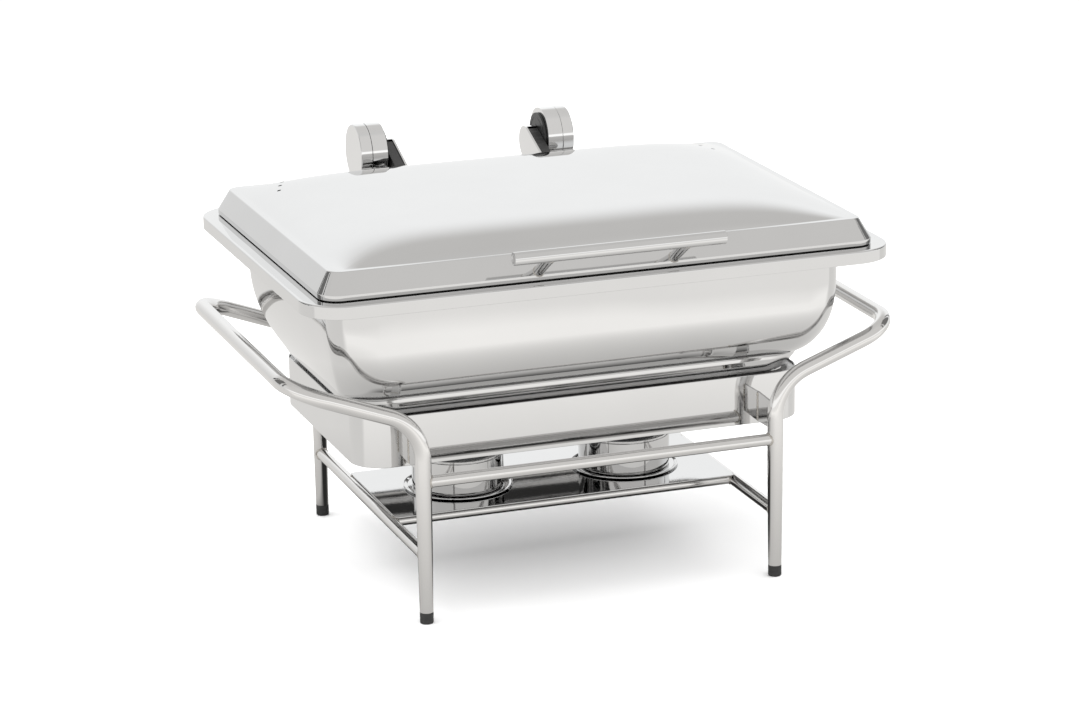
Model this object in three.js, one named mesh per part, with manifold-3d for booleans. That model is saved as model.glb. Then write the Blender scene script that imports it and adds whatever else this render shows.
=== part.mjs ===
// Chafing dish food warmer: a full-size hinged chafer on a bent-tube stand with two gel burners.
// Millimetres, +Z up, +X to the right, -Y to the front. The origin is on the floor, in the middle of
// the object's overall width and depth. The pieces are laid out from the midpoint of the four feet,
// and the finished group is then moved back along Y to its origin.
import * as THREE from "three";
import { mergeVertices } from "three/addons/utils/BufferGeometryUtils.js";
import Module from "manifold-3d";

const wasm = await Module();
wasm.setup();

// ---------------------------------------------------------------- driving dimensions
const GAP = 0.3;                       // clearance left between neighbouring pieces

// Stand
const LEG_X = 183;                     // leg axes, measured from the centre
const LEG_Y = 177;
const TUBE_RADIUS = 8;
const TUBE_WALL = 1.2;
const TAPER_TOP_Z = 140;               // the legs narrow below this height
const LEG_END_RADIUS = 6.6;
const FOOT_HEIGHT = 11;
const HANDLE_X = 312;                  // centreline of the end handles
const HANDLE_Z = 248;
const ARM_ROOT_Z = 200;                // where the arm's line would meet the leg's line
const LEG_BEND_RADIUS = 50;
const HANDLE_BEND_RADIUS = 38;
const UPPER_RAIL_Z = 142.8;
const RAIL_RADIUS = 6;
const SIDE_RAIL_Z = 68.3;
const SHELF_RAIL_Z = 69.2;
const SHELF_RAIL_RADIUS = 5;
const SHELF_RAIL_Y = 70;

// Support ring that the pan stands in
const RING = { halfX: 234, halfY: 135, corner: 33, wall: 1.5, bottomZ: 147, topZ: 197.5 };
const LEDGE = { halfX: 220, halfY: 121, corner: 24, topZ: 195.6, thickness: 2 };
const BRACKET = { thickness: 2.5, bottomZ: 149, topZ: 180 };

// Burners
const TRAY = { halfX: 181, halfY: 78, corner: 4, bottomZ: 74.6, thickness: 1 };
const BURNER_X = 90;
const SAUCER_RADIUS = 55.5;
const CUP_RADIUS = 47.2;
const CUP_TOP_Z = 113.5;
const TIN_RADIUS = 43;
const TIN_TOP_Z = 110.5;

// Pans and rim
const PAN = { halfX: 263, halfY: 176, corner: 42, topZ: 333.2, bottomZ: 196, wall: 1.3 };
const PAN_END_CURVE = { startZ: 295, radius: 165 };
const PAN_SIDE_CURVE = { startZ: 272, radius: 60 };
const PAN_FOOT = { topZ: 214, halfY: 131 };
const RIM = { halfX: 300, halfY: 212.5, corner: 42, topZ: 335, edgeHeight: 13, sheet: 1.5 };
const RIM_OPENING = { halfX: 256, halfY: 153.5, corner: 34 };
const FOOD_PAN = {
  flangeHalfX: 265, flangeHalfY: 162.5, flangeCorner: 22,
  topHalfX: 252.5, topHalfY: 150, topCorner: 33,
  bottomHalfX: 245, bottomHalfY: 142.5, depth: 65, sheet: 1,
};

// Lid
const LIP = { halfX: 283, halfY: 196.5, corner: 21, bottomZ: 336.6, height: 4.4 };
const GASKET = { inset: 2.5, width: 6.5 };  // a strip under the lip, set back from its edge
const SHOULDER = { halfX: 271.5, halfY: 185, corner: 13, z: 361 };
const DOME = { rise: 22, powerX: 6.4, powerY: 4.6, blend: 0.78 };
const LID_SHEET = 1.1;
const VENTS = [[236, 113], [229.5, 132], [222, 151]];
const VENT_RADIUS = 2.4;
const HANDLE_ROD = { y: -231, z: 369, halfLength: 107, radius: 6.5 };
const POST_X = 69;
const POST_FOOT = { y: -194.1, z: 344.2 };

// Hinges
const HINGE_Y = 243;
const HINGE_Z = 371;
const DRUM_RADIUS = 30;
const DRUM_INNER_X = 89.3;
const DRUM_SPLIT_X = 105.5;
const DRUM_OUTER_X = 118.2;
const DRUM_WALL = 2.5;
const SHAFT_RADIUS = 4;
const WASHER = { radius: 24.5, innerX: 86.6, outerX: 89 };
const ARM = {
  innerX: 73, outerX: 86.3, sheet: 2.5,
  headY: 2.5, headZ: -6.5, headRadius: 17.5,   // the round head, measured from the hinge axis
  slope: 0.39,                                 // angle of its forward-sloping top, in radians
};
const FOOT_PLATE = 4;                  // thickness of the hinge's foot where it is screwed on
const SCREW = { z: 328.5, spacing: 8, shankRadius: 1.8, headRadius: 3.2, headHeight: 2.2 };

// ---------------------------------------------------------------- materials
function steel(colour, roughness) {
  return new THREE.MeshStandardMaterial({ color: colour, roughness, metalness: 1 });
}
const mirrorSteel = () => steel(0xd9d9d6, 0.08);
const tubeSteel = () => steel(0xcfcfcb, 0.18);
const plainSteel = () => steel(0xb9b9b5, 0.35);
const chrome = () => steel(0xe2e2e2, 0.05);
const plastic = (colour, roughness) =>
  new THREE.MeshStandardMaterial({ color: colour, roughness, metalness: 0 });
const blackRubber = () => plastic(0x141414, 0.8);
const blackPlastic = () => plastic(0x1b1b1b, 0.45);
const fuelGel = () => plastic(0xb8c4cf, 0.3);

// ---------------------------------------------------------------- solids and booleans
function toSolid(geometry) {
  const bare = geometry.clone();
  bare.deleteAttribute("normal");
  bare.deleteAttribute("uv");
  const welded = mergeVertices(bare, 1e-4);
  return new wasm.Manifold(new wasm.Mesh({
    numProp: 3,
    vertProperties: new Float32Array(welded.attributes.position.array),
    triVerts: new Uint32Array(welded.index.array),
  }));
}

function toGeometry(solid) {
  const mesh = solid.getMesh();
  const geometry = new THREE.BufferGeometry();
  geometry.setAttribute("position", new THREE.BufferAttribute(mesh.vertProperties, 3));
  geometry.setIndex(new THREE.BufferAttribute(mesh.triVerts, 1));
  geometry.computeVertexNormals();
  return geometry;
}

function cut(geometry, ...tools) {
  return toGeometry(tools.reduce((solid, tool) => solid.subtract(toSolid(tool)), toSolid(geometry)));
}

function join(geometry, ...others) {
  return toGeometry(others.reduce((solid, other) => solid.add(toSolid(other)), toSolid(geometry)));
}

function piece(name, geometry, material) {
  const mesh = new THREE.Mesh(geometry, material);
  mesh.name = name;
  return mesh;
}

// ---------------------------------------------------------------- shared shapes
// A cylinder of the given length along X, centred on the origin.
function barAlongX(radius, length, sides = 12) {
  return new THREE.CylinderGeometry(radius, radius, length, sides).rotateZ(Math.PI / 2);
}

function barAlongY(radius, length, sides = 12) {
  return new THREE.CylinderGeometry(radius, radius, length, sides);
}

function barAlongZ(radius, length, sides = 12) {
  return new THREE.CylinderGeometry(radius, radius, length, sides).rotateX(Math.PI / 2);
}

// Turned piece about +Z from [radius, z] pairs.
function turned(profile, sides = 20) {
  const points = profile.map(([radius, z]) => new THREE.Vector2(radius, z));
  return new THREE.LatheGeometry(points, sides).rotateX(Math.PI / 2);
}

// The plan outline of a rectangle with round corners, anticlockwise.
function roundedRectangle({ halfX, halfY, corner }, cornerSteps = 6) {
  const points = [];
  const centres = [[1, 1], [-1, 1], [-1, -1], [1, -1]];
  centres.forEach(([signX, signY], quadrant) => {
    for (let step = 0; step <= cornerSteps; step += 1) {
      const angle = (quadrant + step / cornerSteps) * Math.PI / 2;
      points.push(new THREE.Vector2(
        signX * (halfX - corner) + corner * Math.cos(angle),
        signY * (halfY - corner) + corner * Math.sin(angle)));
    }
  });
  return points;
}

// A horizontal sheet with round corners and, if given, an opening of the same kind.
function sheet(outline, bottomZ, thickness, opening) {
  const shape = new THREE.Shape(roundedRectangle(outline));
  if (opening) {
    shape.holes.push(new THREE.Path(roundedRectangle(opening)));
  }
  const geometry = new THREE.ExtrudeGeometry(shape, { depth: thickness, bevelEnabled: false });
  return geometry.translate(0, 0, bottomZ);
}

function ringPoints(ring) {
  return roundedRectangle(ring).map((point) =>
    new THREE.Vector3(point.x, point.y, ring.height ? ring.height(point.x, point.y) : ring.z));
}

// Joins a series of closed outlines into one skin. The skin is closed by a fan at each end, or,
// when looped is true, by joining the last outline to the first.
function skin(rings, looped = false) {
  const outlines = rings.map(ringPoints);
  const count = outlines[0].length;
  const vertices = outlines.flat();
  const indices = [];
  const bands = looped ? outlines.length : outlines.length - 1;
  for (let band = 0; band < bands; band += 1) {
    const lower = band * count;
    const upper = ((band + 1) % outlines.length) * count;
    for (let side = 0; side < count; side += 1) {
      const next = (side + 1) % count;
      indices.push(lower + side, lower + next, upper + next);
      indices.push(lower + side, upper + next, upper + side);
    }
  }
  if (!looped) {
    const last = (outlines.length - 1) * count;
    const firstCentre = vertices.push(centreOf(rings[0])) - 1;
    const lastCentre = vertices.push(centreOf(rings[rings.length - 1])) - 1;
    for (let side = 0; side < count; side += 1) {
      const next = (side + 1) % count;
      indices.push(firstCentre, next, side);
      indices.push(lastCentre, last + side, last + next);
    }
  }
  const geometry = new THREE.BufferGeometry().setFromPoints(vertices);
  geometry.setIndex(indices);
  geometry.computeVertexNormals();
  return geometry;
}

function centreOf(ring) {
  return new THREE.Vector3(0, 0, ring.height ? ring.height(0, 0) : ring.z);
}

// ---------------------------------------------------------------- bent tubes
// A path of straight runs joined by round bends. Its stations are dense only in the bends.
class BentPath extends THREE.Curve {
  constructor(corners, bendRadii, bendSteps) {
    super();
    this.stations = [{ point: corners[0], tangent: direction(corners[0], corners[1]) }];
    for (let index = 1; index < corners.length - 1; index += 1) {
      this.addBend(corners[index - 1], corners[index], corners[index + 1],
        bendRadii[index - 1], bendSteps);
    }
    const [before, end] = corners.slice(-2);
    this.stations.push({ point: end, tangent: direction(before, end) });
  }

  addBend(from, corner, to, radius, steps) {
    const incoming = direction(from, corner);
    const outgoing = direction(corner, to);
    const turn = incoming.angleTo(outgoing);
    const start = corner.clone().addScaledVector(incoming, -radius * Math.tan(turn / 2));
    const sideways = outgoing.clone().addScaledVector(incoming, -incoming.dot(outgoing)).normalize();
    for (let step = 0; step <= steps; step += 1) {
      const angle = turn * step / steps;
      const point = start.clone()
        .addScaledVector(incoming, radius * Math.sin(angle))
        .addScaledVector(sideways, radius * (1 - Math.cos(angle)));
      const tangent = incoming.clone().multiplyScalar(Math.cos(angle))
        .addScaledVector(sideways, Math.sin(angle));
      this.stations.push({ point, tangent });
    }
  }

  stationAt(u) {
    return this.stations[Math.round(u * (this.stations.length - 1))];
  }

  getPointAt(u) {
    return this.stationAt(u).point.clone();
  }

  getTangentAt(u) {
    return this.stationAt(u).tangent.clone();
  }
}

function direction(from, to) {
  return to.clone().sub(from).normalize();
}

// An arc's curveSegments count is halved: a full circle is drawn with twice as many sides.
function bentTube(path, radius, wall, sides) {
  const section = new THREE.Shape().absarc(0, 0, radius, 0, 2 * Math.PI);
  section.holes.push(new THREE.Path().absarc(0, 0, radius - wall, 0, 2 * Math.PI));
  return new THREE.ExtrudeGeometry(section, {
    steps: path.stations.length - 1,
    curveSegments: sides / 2,
    extrudePath: path,
  });
}

// ---------------------------------------------------------------- stand
// Both legs, both arms and the handle of one end are one tube. The legs narrow towards the floor.
function endFrame() {
  const corner = (x, y, z) => new THREE.Vector3(x, y, z);
  const path = new BentPath([
    corner(LEG_X, -LEG_Y, FOOT_HEIGHT + GAP),
    corner(LEG_X, -LEG_Y, ARM_ROOT_Z),
    corner(HANDLE_X, -LEG_Y, HANDLE_Z),
    corner(HANDLE_X, LEG_Y, HANDLE_Z),
    corner(LEG_X, LEG_Y, ARM_ROOT_Z),
    corner(LEG_X, LEG_Y, FOOT_HEIGHT + GAP),
  ], [LEG_BEND_RADIUS, HANDLE_BEND_RADIUS, HANDLE_BEND_RADIUS, LEG_BEND_RADIUS], 5);
  const geometry = bentTube(path, TUBE_RADIUS, TUBE_WALL, 12);
  const position = geometry.attributes.position;
  for (let index = 0; index < position.count; index += 1) {
    const factor = legRadius(position.getZ(index)) / TUBE_RADIUS;
    const legY = Math.sign(position.getY(index)) * LEG_Y;
    if (factor < 1) {
      position.setX(index, LEG_X + (position.getX(index) - LEG_X) * factor);
      position.setY(index, legY + (position.getY(index) - legY) * factor);
    }
  }
  return geometry;
}

function legRadius(z) {
  const share = THREE.MathUtils.clamp((z - FOOT_HEIGHT) / (TAPER_TOP_Z - FOOT_HEIGHT), 0, 1);
  return THREE.MathUtils.lerp(LEG_END_RADIUS, TUBE_RADIUS, share);
}

// A rubber plug: a pad under the tube's end and a stem pushed up inside it.
function footCap() {
  const stem = LEG_END_RADIUS - TUBE_WALL - GAP;
  return turned([
    [0, 0], [LEG_END_RADIUS - 0.6, 0], [LEG_END_RADIUS + 0.1, 1.2],
    [LEG_END_RADIUS + 0.1, FOOT_HEIGHT], [stem, FOOT_HEIGHT], [stem, FOOT_HEIGHT + 14], [0, FOOT_HEIGHT + 14],
  ], 16);
}

// A rail along X between two legs, hollowed at both ends to sit against them.
function upperRail() {
  const leg = () => barAlongZ(TUBE_RADIUS + GAP, 60, 20);
  return cut(barAlongX(RAIL_RADIUS, 2 * LEG_X), leg().translate(LEG_X, 0, 0), leg().translate(-LEG_X, 0, 0));
}

function sideRail() {
  const legHere = legRadius(SIDE_RAIL_Z) + GAP + 0.15;
  const leg = () => barAlongZ(legHere, 60, 20);
  return cut(barAlongY(RAIL_RADIUS, 2 * LEG_Y), leg().translate(0, LEG_Y, 0), leg().translate(0, -LEG_Y, 0));
}

function shelfRail() {
  const drop = SIDE_RAIL_Z - SHELF_RAIL_Z;
  const side = () => barAlongY(RAIL_RADIUS + GAP, 40, 20);
  return cut(barAlongX(SHELF_RAIL_RADIUS, 2 * LEG_X),
    side().translate(LEG_X, 0, drop), side().translate(-LEG_X, 0, drop));
}

function supportRing() {
  const opening = {
    halfX: RING.halfX - RING.wall, halfY: RING.halfY - RING.wall, corner: RING.corner - RING.wall,
  };
  return sheet(RING, RING.bottomZ, RING.topZ - RING.bottomZ, opening);
}

function ringLedge() {
  const inset = RING.wall + GAP;
  const outline = { halfX: RING.halfX - inset, halfY: RING.halfY - inset, corner: RING.corner - inset };
  return sheet(outline, LEDGE.topZ - LEDGE.thickness, LEDGE.thickness, LEDGE);
}

// A plate from the ring's wall to a leg. Its leg edge follows the tube's bend.
function ringBracket() {
  const height = BRACKET.topZ - BRACKET.bottomZ;
  const length = LEG_Y - RING.halfY - GAP;
  const plate = new THREE.BoxGeometry(BRACKET.thickness, length, height);
  plate.translate(LEG_X, RING.halfY + GAP + length / 2, BRACKET.bottomZ + height / 2);
  const leg = barAlongZ(TUBE_RADIUS + GAP, 80, 20).translate(LEG_X, LEG_Y, BRACKET.bottomZ + height / 2);
  return cut(plate, leg);
}

function addStand(group) {
  for (const [side, sign] of [["right", 1], ["left", -1]]) {
    const end = new THREE.Group();
    end.scale.x = sign;
    end.add(piece(`end_frame_${side}`, endFrame(), tubeSteel()));
    const rail = piece(`lower_side_rail_${side}`, sideRail(), tubeSteel());
    rail.position.set(LEG_X, 0, SIDE_RAIL_Z);
    end.add(rail);
    for (const [place, signY] of [["front", -1], ["back", 1]]) {
      const foot = piece(`foot_cap_${place}_${side}`, footCap(), blackRubber());
      foot.position.set(LEG_X, signY * LEG_Y, 0);
      const bracket = piece(`ring_bracket_${place}_${side}`, ringBracket(), mirrorSteel());
      bracket.scale.y = signY;
      end.add(foot, bracket);
    }
    group.add(end);
  }
  for (const [place, signY] of [["front", -1], ["back", 1]]) {
    const upper = piece(`upper_rail_${place}`, upperRail(), tubeSteel());
    upper.position.set(0, signY * LEG_Y, UPPER_RAIL_Z);
    const shelf = piece(`shelf_rail_${place}`, shelfRail(), tubeSteel());
    shelf.position.set(0, signY * SHELF_RAIL_Y, SHELF_RAIL_Z);
    group.add(upper, shelf);
  }
  group.add(piece("support_ring", supportRing(), mirrorSteel()));
  group.add(piece("ring_ledge", ringLedge(), plainSteel()));
  group.add(piece("burner_tray", sheet(TRAY, TRAY.bottomZ, TRAY.thickness), mirrorSteel()));
}

// ---------------------------------------------------------------- burners
// Turned profiles start and end on the axis, with z measured from the tray.
function saucer() {
  const rise = 6;
  return turned([
    [0, 0], [SAUCER_RADIUS - 9, 0], [SAUCER_RADIUS - 3, rise - 2], [SAUCER_RADIUS, rise],
    [SAUCER_RADIUS - 0.8, rise + 0.7], [SAUCER_RADIUS - 4, rise - 1], [SAUCER_RADIUS - 9.6, 1], [0, 1],
  ]);
}

function burnerCup(bottom, top) {
  const wall = 0.9;
  return turned([
    [0, bottom], [CUP_RADIUS - 2, bottom], [CUP_RADIUS, bottom + 2], [CUP_RADIUS, top - 1],
    [CUP_RADIUS - wall, top], [CUP_RADIUS - 2 * wall, top - 1], [CUP_RADIUS - 2 * wall, bottom + 2],
    [CUP_RADIUS - 4, bottom + 1], [0, bottom + 1],
  ]);
}

function fuelTin(bottom, top) {
  const mouth = TIN_RADIUS - 9;
  return turned([
    [0, bottom], [TIN_RADIUS, bottom], [TIN_RADIUS, top], [mouth, top], [mouth, top - 0.6],
    [TIN_RADIUS - 0.7, top - 0.6], [TIN_RADIUS - 0.7, bottom + 0.7], [0, bottom + 0.7],
  ]);
}

function addBurners(group) {
  const cupBottom = 1.2;
  const tinBottom = cupBottom + 1.2;
  const trayTop = TRAY.bottomZ + TRAY.thickness + 0.2;
  const top = (z) => z - trayTop;
  for (const [side, sign] of [["right", 1], ["left", -1]]) {
    const burner = new THREE.Group();
    burner.position.set(sign * BURNER_X, 0, trayTop);
    burner.add(piece(`burner_saucer_${side}`, saucer(), mirrorSteel()));
    burner.add(piece(`burner_cup_${side}`, burnerCup(cupBottom, top(CUP_TOP_Z)), mirrorSteel()));
    burner.add(piece(`fuel_tin_${side}`, fuelTin(tinBottom, top(TIN_TOP_Z)), plainSteel()));
    const gelHeight = top(TIN_TOP_Z) - tinBottom - 6;
    const gel = piece(`fuel_gel_${side}`, barAlongZ(TIN_RADIUS - 1.2, gelHeight, 20), fuelGel());
    gel.position.z = tinBottom + 1 + gelHeight / 2;
    burner.add(gel);
    group.add(burner);
  }
}

// ---------------------------------------------------------------- pans and rim
// How far a wall that turns in on a round curve has moved inwards at height z.
function curveInset({ startZ, radius }, z) {
  const drop = Math.max(startZ - z, 0);
  return radius - Math.sqrt(Math.max(radius ** 2 - drop ** 2, 0));
}

function waterPanSection(z) {
  const halfX = PAN.halfX - curveInset(PAN_END_CURVE, z);
  const curvedY = PAN.halfY - curveInset(PAN_SIDE_CURVE, z);
  const halfY = z <= PAN_FOOT.topZ ? PAN_FOOT.halfY : Math.max(curvedY, PAN_FOOT.halfY);
  return { halfX, halfY, corner: PAN.corner, z };
}

// A deep bath with round ends. The front and back turn in to a narrow upright foot.
function waterPan() {
  const heights = [PAN.bottomZ, PAN_FOOT.topZ, 215.6, 221, 230, 244, 262, 295, PAN.topZ];
  const outer = heights.map(waterPanSection);
  const inner = outer.slice().reverse().map((ring) => {
    const lift = ring.z >= PAN_END_CURVE.startZ ? 0 : PAN.wall;
    return {
      halfX: ring.halfX - PAN.wall, halfY: ring.halfY - PAN.wall,
      corner: ring.corner - PAN.wall, z: ring.z + lift,
    };
  });
  return skin([...outer, ...inner]);
}

// A flat frame whose outer edge is turned down. The food pan hangs in its opening.
function rimFrame() {
  const inner = { halfX: RIM.halfX - RIM.sheet, halfY: RIM.halfY - RIM.sheet, corner: RIM.corner - RIM.sheet };
  const foldZ = RIM.topZ - RIM.sheet;
  const edgeZ = RIM.topZ - RIM.edgeHeight;
  const round = 1;
  const crown = { halfX: RIM.halfX - round, halfY: RIM.halfY - round, corner: RIM.corner - round };
  const frame = skin([
    { ...RIM, z: edgeZ }, { ...RIM, z: RIM.topZ - round }, { ...crown, z: RIM.topZ },
    { ...RIM_OPENING, z: RIM.topZ }, { ...RIM_OPENING, z: foldZ },
    { ...inner, z: foldZ }, { ...inner, z: edgeZ },
  ], true);
  return cut(frame, ...screwHoles(1), ...screwHoles(-1));
}

function foodPan() {
  const { sheet: wall, depth } = FOOD_PAN;
  const restZ = RIM.topZ + GAP;
  const floorZ = restZ + wall - depth;
  const flange = { halfX: FOOD_PAN.flangeHalfX, halfY: FOOD_PAN.flangeHalfY, corner: FOOD_PAN.flangeCorner };
  const mouth = { halfX: FOOD_PAN.topHalfX, halfY: FOOD_PAN.topHalfY, corner: FOOD_PAN.topCorner };
  const base = { halfX: FOOD_PAN.bottomHalfX, halfY: FOOD_PAN.bottomHalfY, corner: FOOD_PAN.topCorner };
  const shrink = (ring, by) => ({ halfX: ring.halfX - by, halfY: ring.halfY - by, corner: ring.corner - by });
  const bend = 12;
  return skin([
    { ...shrink(base, bend), z: floorZ }, { ...base, z: floorZ + bend }, { ...mouth, z: restZ },
    { ...flange, z: restZ }, { ...flange, z: restZ + wall },
    { ...shrink(mouth, wall), z: restZ + wall }, { ...shrink(base, wall), z: floorZ + bend },
    { ...shrink(base, bend + wall), z: floorZ + wall },
  ]);
}

// ---------------------------------------------------------------- lid
// The pillow's height over a point of the plan: nearly flat in the middle, steep at the edges.
function domeHeight(x, y) {
  const acrossX = 1 - Math.min(Math.abs(x) / SHOULDER.halfX, 1) ** DOME.powerX;
  const acrossY = 1 - Math.min(Math.abs(y) / SHOULDER.halfY, 1) ** DOME.powerY;
  return SHOULDER.z + DOME.rise * (acrossX * acrossY) ** DOME.blend;
}

function lidSkinRings(inset) {
  const plan = ({ halfX, halfY, corner }, scale = 1) => ({
    halfX: (halfX - inset) * scale, halfY: (halfY - inset) * scale, corner: (corner - inset) * scale,
  });
  const domeScales = [0.96, 0.9, 0.8, 0.62, 0.35];
  return [
    { ...plan(LIP), z: LIP.bottomZ },
    { ...plan(LIP), z: LIP.bottomZ + LIP.height },
    { ...plan(SHOULDER), z: SHOULDER.z - inset },
    ...domeScales.map((scale) => ({
      ...plan(SHOULDER, scale), height: (x, y) => domeHeight(x, y) - inset,
    })),
  ];
}

function lidShell() {
  const outer = lidSkinRings(0);
  const inner = lidSkinRings(LID_SHEET).reverse();
  const shell = skin([...inner, ...outer]);
  const vents = [];
  for (const [x, y] of VENTS) {
    for (const sign of [1, -1]) {
      vents.push(barAlongZ(VENT_RADIUS, 12, 10).translate(sign * x, y, domeHeight(x, y)));
    }
  }
  return cut(shell, ...vents);
}

function lidGasket() {
  const outline = (inset) => ({
    halfX: LIP.halfX - inset, halfY: LIP.halfY - inset, corner: LIP.corner - inset,
  });
  const bottomZ = RIM.topZ + GAP;
  const thickness = LIP.bottomZ - GAP - bottomZ;
  return sheet(outline(GASKET.inset), bottomZ, thickness, outline(GASKET.inset + GASKET.width));
}

function handleRod() {
  const { halfLength, radius } = HANDLE_ROD;
  const round = 1.2;
  return turned([
    [0, -halfLength], [radius - round, -halfLength], [radius, -halfLength + round],
    [radius, halfLength - round], [radius - round, halfLength], [0, halfLength],
  ], 20).rotateY(Math.PI / 2);
}

// A round post that stands on the lid's sloping side and widens where it meets the rod.
function handlePost() {
  const foot = new THREE.Vector3(0, POST_FOOT.y, POST_FOOT.z);
  const head = new THREE.Vector3(0, HANDLE_ROD.y, HANDLE_ROD.z);
  const axis = direction(foot, head);
  const length = foot.distanceTo(head);
  const post = new THREE.CylinderGeometry(6.2, 5, length + 8, 16);
  post.applyQuaternion(new THREE.Quaternion().setFromUnitVectors(new THREE.Vector3(0, 1, 0), axis));
  const middle = foot.clone().lerp(head, 0.5).addScaledVector(axis, -4);
  post.translate(0, middle.y, middle.z);
  const rod = barAlongX(HANDLE_ROD.radius + GAP, 40, 24).translate(0, HANDLE_ROD.y, HANDLE_ROD.z);
  const beyondLid = bevelBlock(40, GAP);
  return cut(post, rod, beyondLid);
}

// The space behind the lid's front slope, moved forwards by clearance.
function bevelBlock(width, clearance) {
  const front = LIP.halfY + clearance * 1.2;
  const shoulder = SHOULDER.halfY + clearance * 1.2;
  const outline = new THREE.Shape([
    new THREE.Vector2(-front, LIP.bottomZ - 30), new THREE.Vector2(-front, LIP.bottomZ + LIP.height),
    new THREE.Vector2(-shoulder, SHOULDER.z), new THREE.Vector2(-100, SHOULDER.z + 20),
    new THREE.Vector2(-100, LIP.bottomZ - 30),
  ].reverse());
  return acrossX(outline, width).translate(-width / 2, 0, 0);
}

// Extrudes an outline drawn in the Y-Z plane along +X.
function acrossX(outline, width) {
  const geometry = new THREE.ExtrudeGeometry(outline, { depth: width, bevelEnabled: false, curveSegments: 7 });
  const toYz = new THREE.Matrix4().makeBasis(
    new THREE.Vector3(0, 1, 0), new THREE.Vector3(0, 0, 1), new THREE.Vector3(1, 0, 0));
  return geometry.applyMatrix4(toYz);
}

// ---------------------------------------------------------------- hinges
// The fixed half of the drum with the foot that is screwed to the back of the rim.
function hingeHousing() {
  const width = DRUM_SPLIT_X - GAP / 2 - DRUM_INNER_X;
  const shell = barAlongX(DRUM_RADIUS, width, 32).translate(width / 2, 0, 0);
  const hollow = barAlongX(DRUM_RADIUS - DRUM_WALL, width, 32).translate(DRUM_WALL + width / 2, 0, 0);
  const bore = barAlongX(SHAFT_RADIUS + GAP, 2 * width, 20);
  const footFront = RIM.halfY + GAP - HINGE_Y;
  const footBottom = RIM.topZ - RIM.edgeHeight - HINGE_Z;
  const foot = new THREE.Shape([
    new THREE.Vector2(footFront, footBottom), new THREE.Vector2(footFront + FOOT_PLATE, footBottom),
    new THREE.Vector2(footFront + FOOT_PLATE, footBottom + 14),
    new THREE.Vector2(4, -DRUM_RADIUS + 3), new THREE.Vector2(-24, -14),
    new THREE.Vector2(footFront, -22),
  ]);
  const body = cut(join(shell, acrossX(foot, width)), hollow, bore);
  return cut(body.translate(DRUM_INNER_X, HINGE_Y, HINGE_Z), ...screwHoles());
}

// Where the two screws of one hinge pass through its foot and the rim's edge.
function screwCentres() {
  const middle = (DRUM_INNER_X + DRUM_SPLIT_X) / 2;
  return [middle - SCREW.spacing / 2, middle + SCREW.spacing / 2];
}

function screwHoles(sign = 1) {
  return screwCentres().map((x) =>
    barAlongY(SCREW.shankRadius + GAP, 20, 12).translate(sign * x, RIM.halfY, SCREW.z));
}

// A round-headed screw. Its head bears on the back of the hinge's foot.
function hingeScrew() {
  const seat = RIM.halfY + 2 * GAP + FOOT_PLATE;
  const reach = FOOT_PLATE + 2 * GAP + RIM.sheet + 3;
  const { shankRadius, headRadius, headHeight } = SCREW;
  return turned([
    [0, -reach], [shankRadius, -reach], [shankRadius, 0], [headRadius, 0],
    [headRadius, headHeight * 0.5], [headRadius * 0.6, headHeight], [0, headHeight],
  ], 12).rotateX(-Math.PI / 2).translate(0, seat, SCREW.z);
}

function hingeCap() {
  const start = DRUM_SPLIT_X + GAP / 2;
  const width = DRUM_OUTER_X - start;
  const round = 1.2;
  return turned([
    [0, width - DRUM_WALL], [DRUM_RADIUS - DRUM_WALL, width - DRUM_WALL],
    [DRUM_RADIUS - DRUM_WALL, 0], [DRUM_RADIUS, 0], [DRUM_RADIUS, width - round],
    [DRUM_RADIUS - round, width], [0, width],
  ], 32).rotateY(Math.PI / 2).translate(start, HINGE_Y, HINGE_Z);
}

// The friction cartridge that holds the lid open at any angle.
function hingeDamper() {
  const start = DRUM_INNER_X + DRUM_WALL + GAP;
  const end = DRUM_OUTER_X - DRUM_WALL - GAP;
  const width = end - start;
  const body = barAlongX(21, width, 24);
  const bore = barAlongX(SHAFT_RADIUS + GAP, width + 2, 20);
  return cut(body, bore).translate((start + end) / 2, HINGE_Y, HINGE_Z);
}

function hingeShaft() {
  const start = ARM.innerX + ARM.sheet + GAP;
  const end = DRUM_OUTER_X - DRUM_WALL - 2 * GAP;
  return barAlongX(SHAFT_RADIUS, end - start, 16).translate((start + end) / 2, HINGE_Y, HINGE_Z);
}

function hingeWasher() {
  const width = WASHER.outerX - WASHER.innerX;
  const disc = barAlongX(WASHER.radius, width, 28);
  const bore = barAlongX(SHAFT_RADIUS + GAP, width + 2, 20);
  return cut(disc, bore).translate((WASHER.innerX + WASHER.outerX) / 2, HINGE_Y, HINGE_Z);
}

// The side view of the arm in Y-Z, measured from the hinge axis: a round head, a straight top that
// slopes forwards and down to the lid, and an underside that returns to the head.
function armOutline(inset, topInset) {
  const { headY, headZ, slope } = ARM;
  const radius = ARM.headRadius - inset;
  const topRadius = ARM.headRadius - topInset;
  const tipY = SHOULDER.halfY - 4 - HINGE_Y;
  const undersideZ = LIP.bottomZ + LIP.height + 2 + inset - HINGE_Z;
  const topStart = new THREE.Vector2(headY - topRadius * Math.sin(slope), headZ + topRadius * Math.cos(slope));
  const tipZ = topStart.y - (topStart.x - tipY) * Math.tan(slope);
  const outline = new THREE.Shape();
  outline.moveTo(tipY, tipZ);
  outline.lineTo(tipY, undersideZ);
  outline.lineTo(headY - radius * 0.6, undersideZ);
  outline.absarc(headY, headZ, radius, -Math.PI / 2, Math.PI / 2 + (topInset < inset ? 0 : slope), false);
  outline.lineTo(topStart.x, topStart.y);
  outline.closePath();
  return outline;
}

function armBar(inset, topInset, startX, endX) {
  const bar = acrossX(armOutline(inset, topInset), endX - startX).translate(startX, HINGE_Y, HINGE_Z);
  return cut(bar, lidKeepOut(startX, endX));
}

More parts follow.
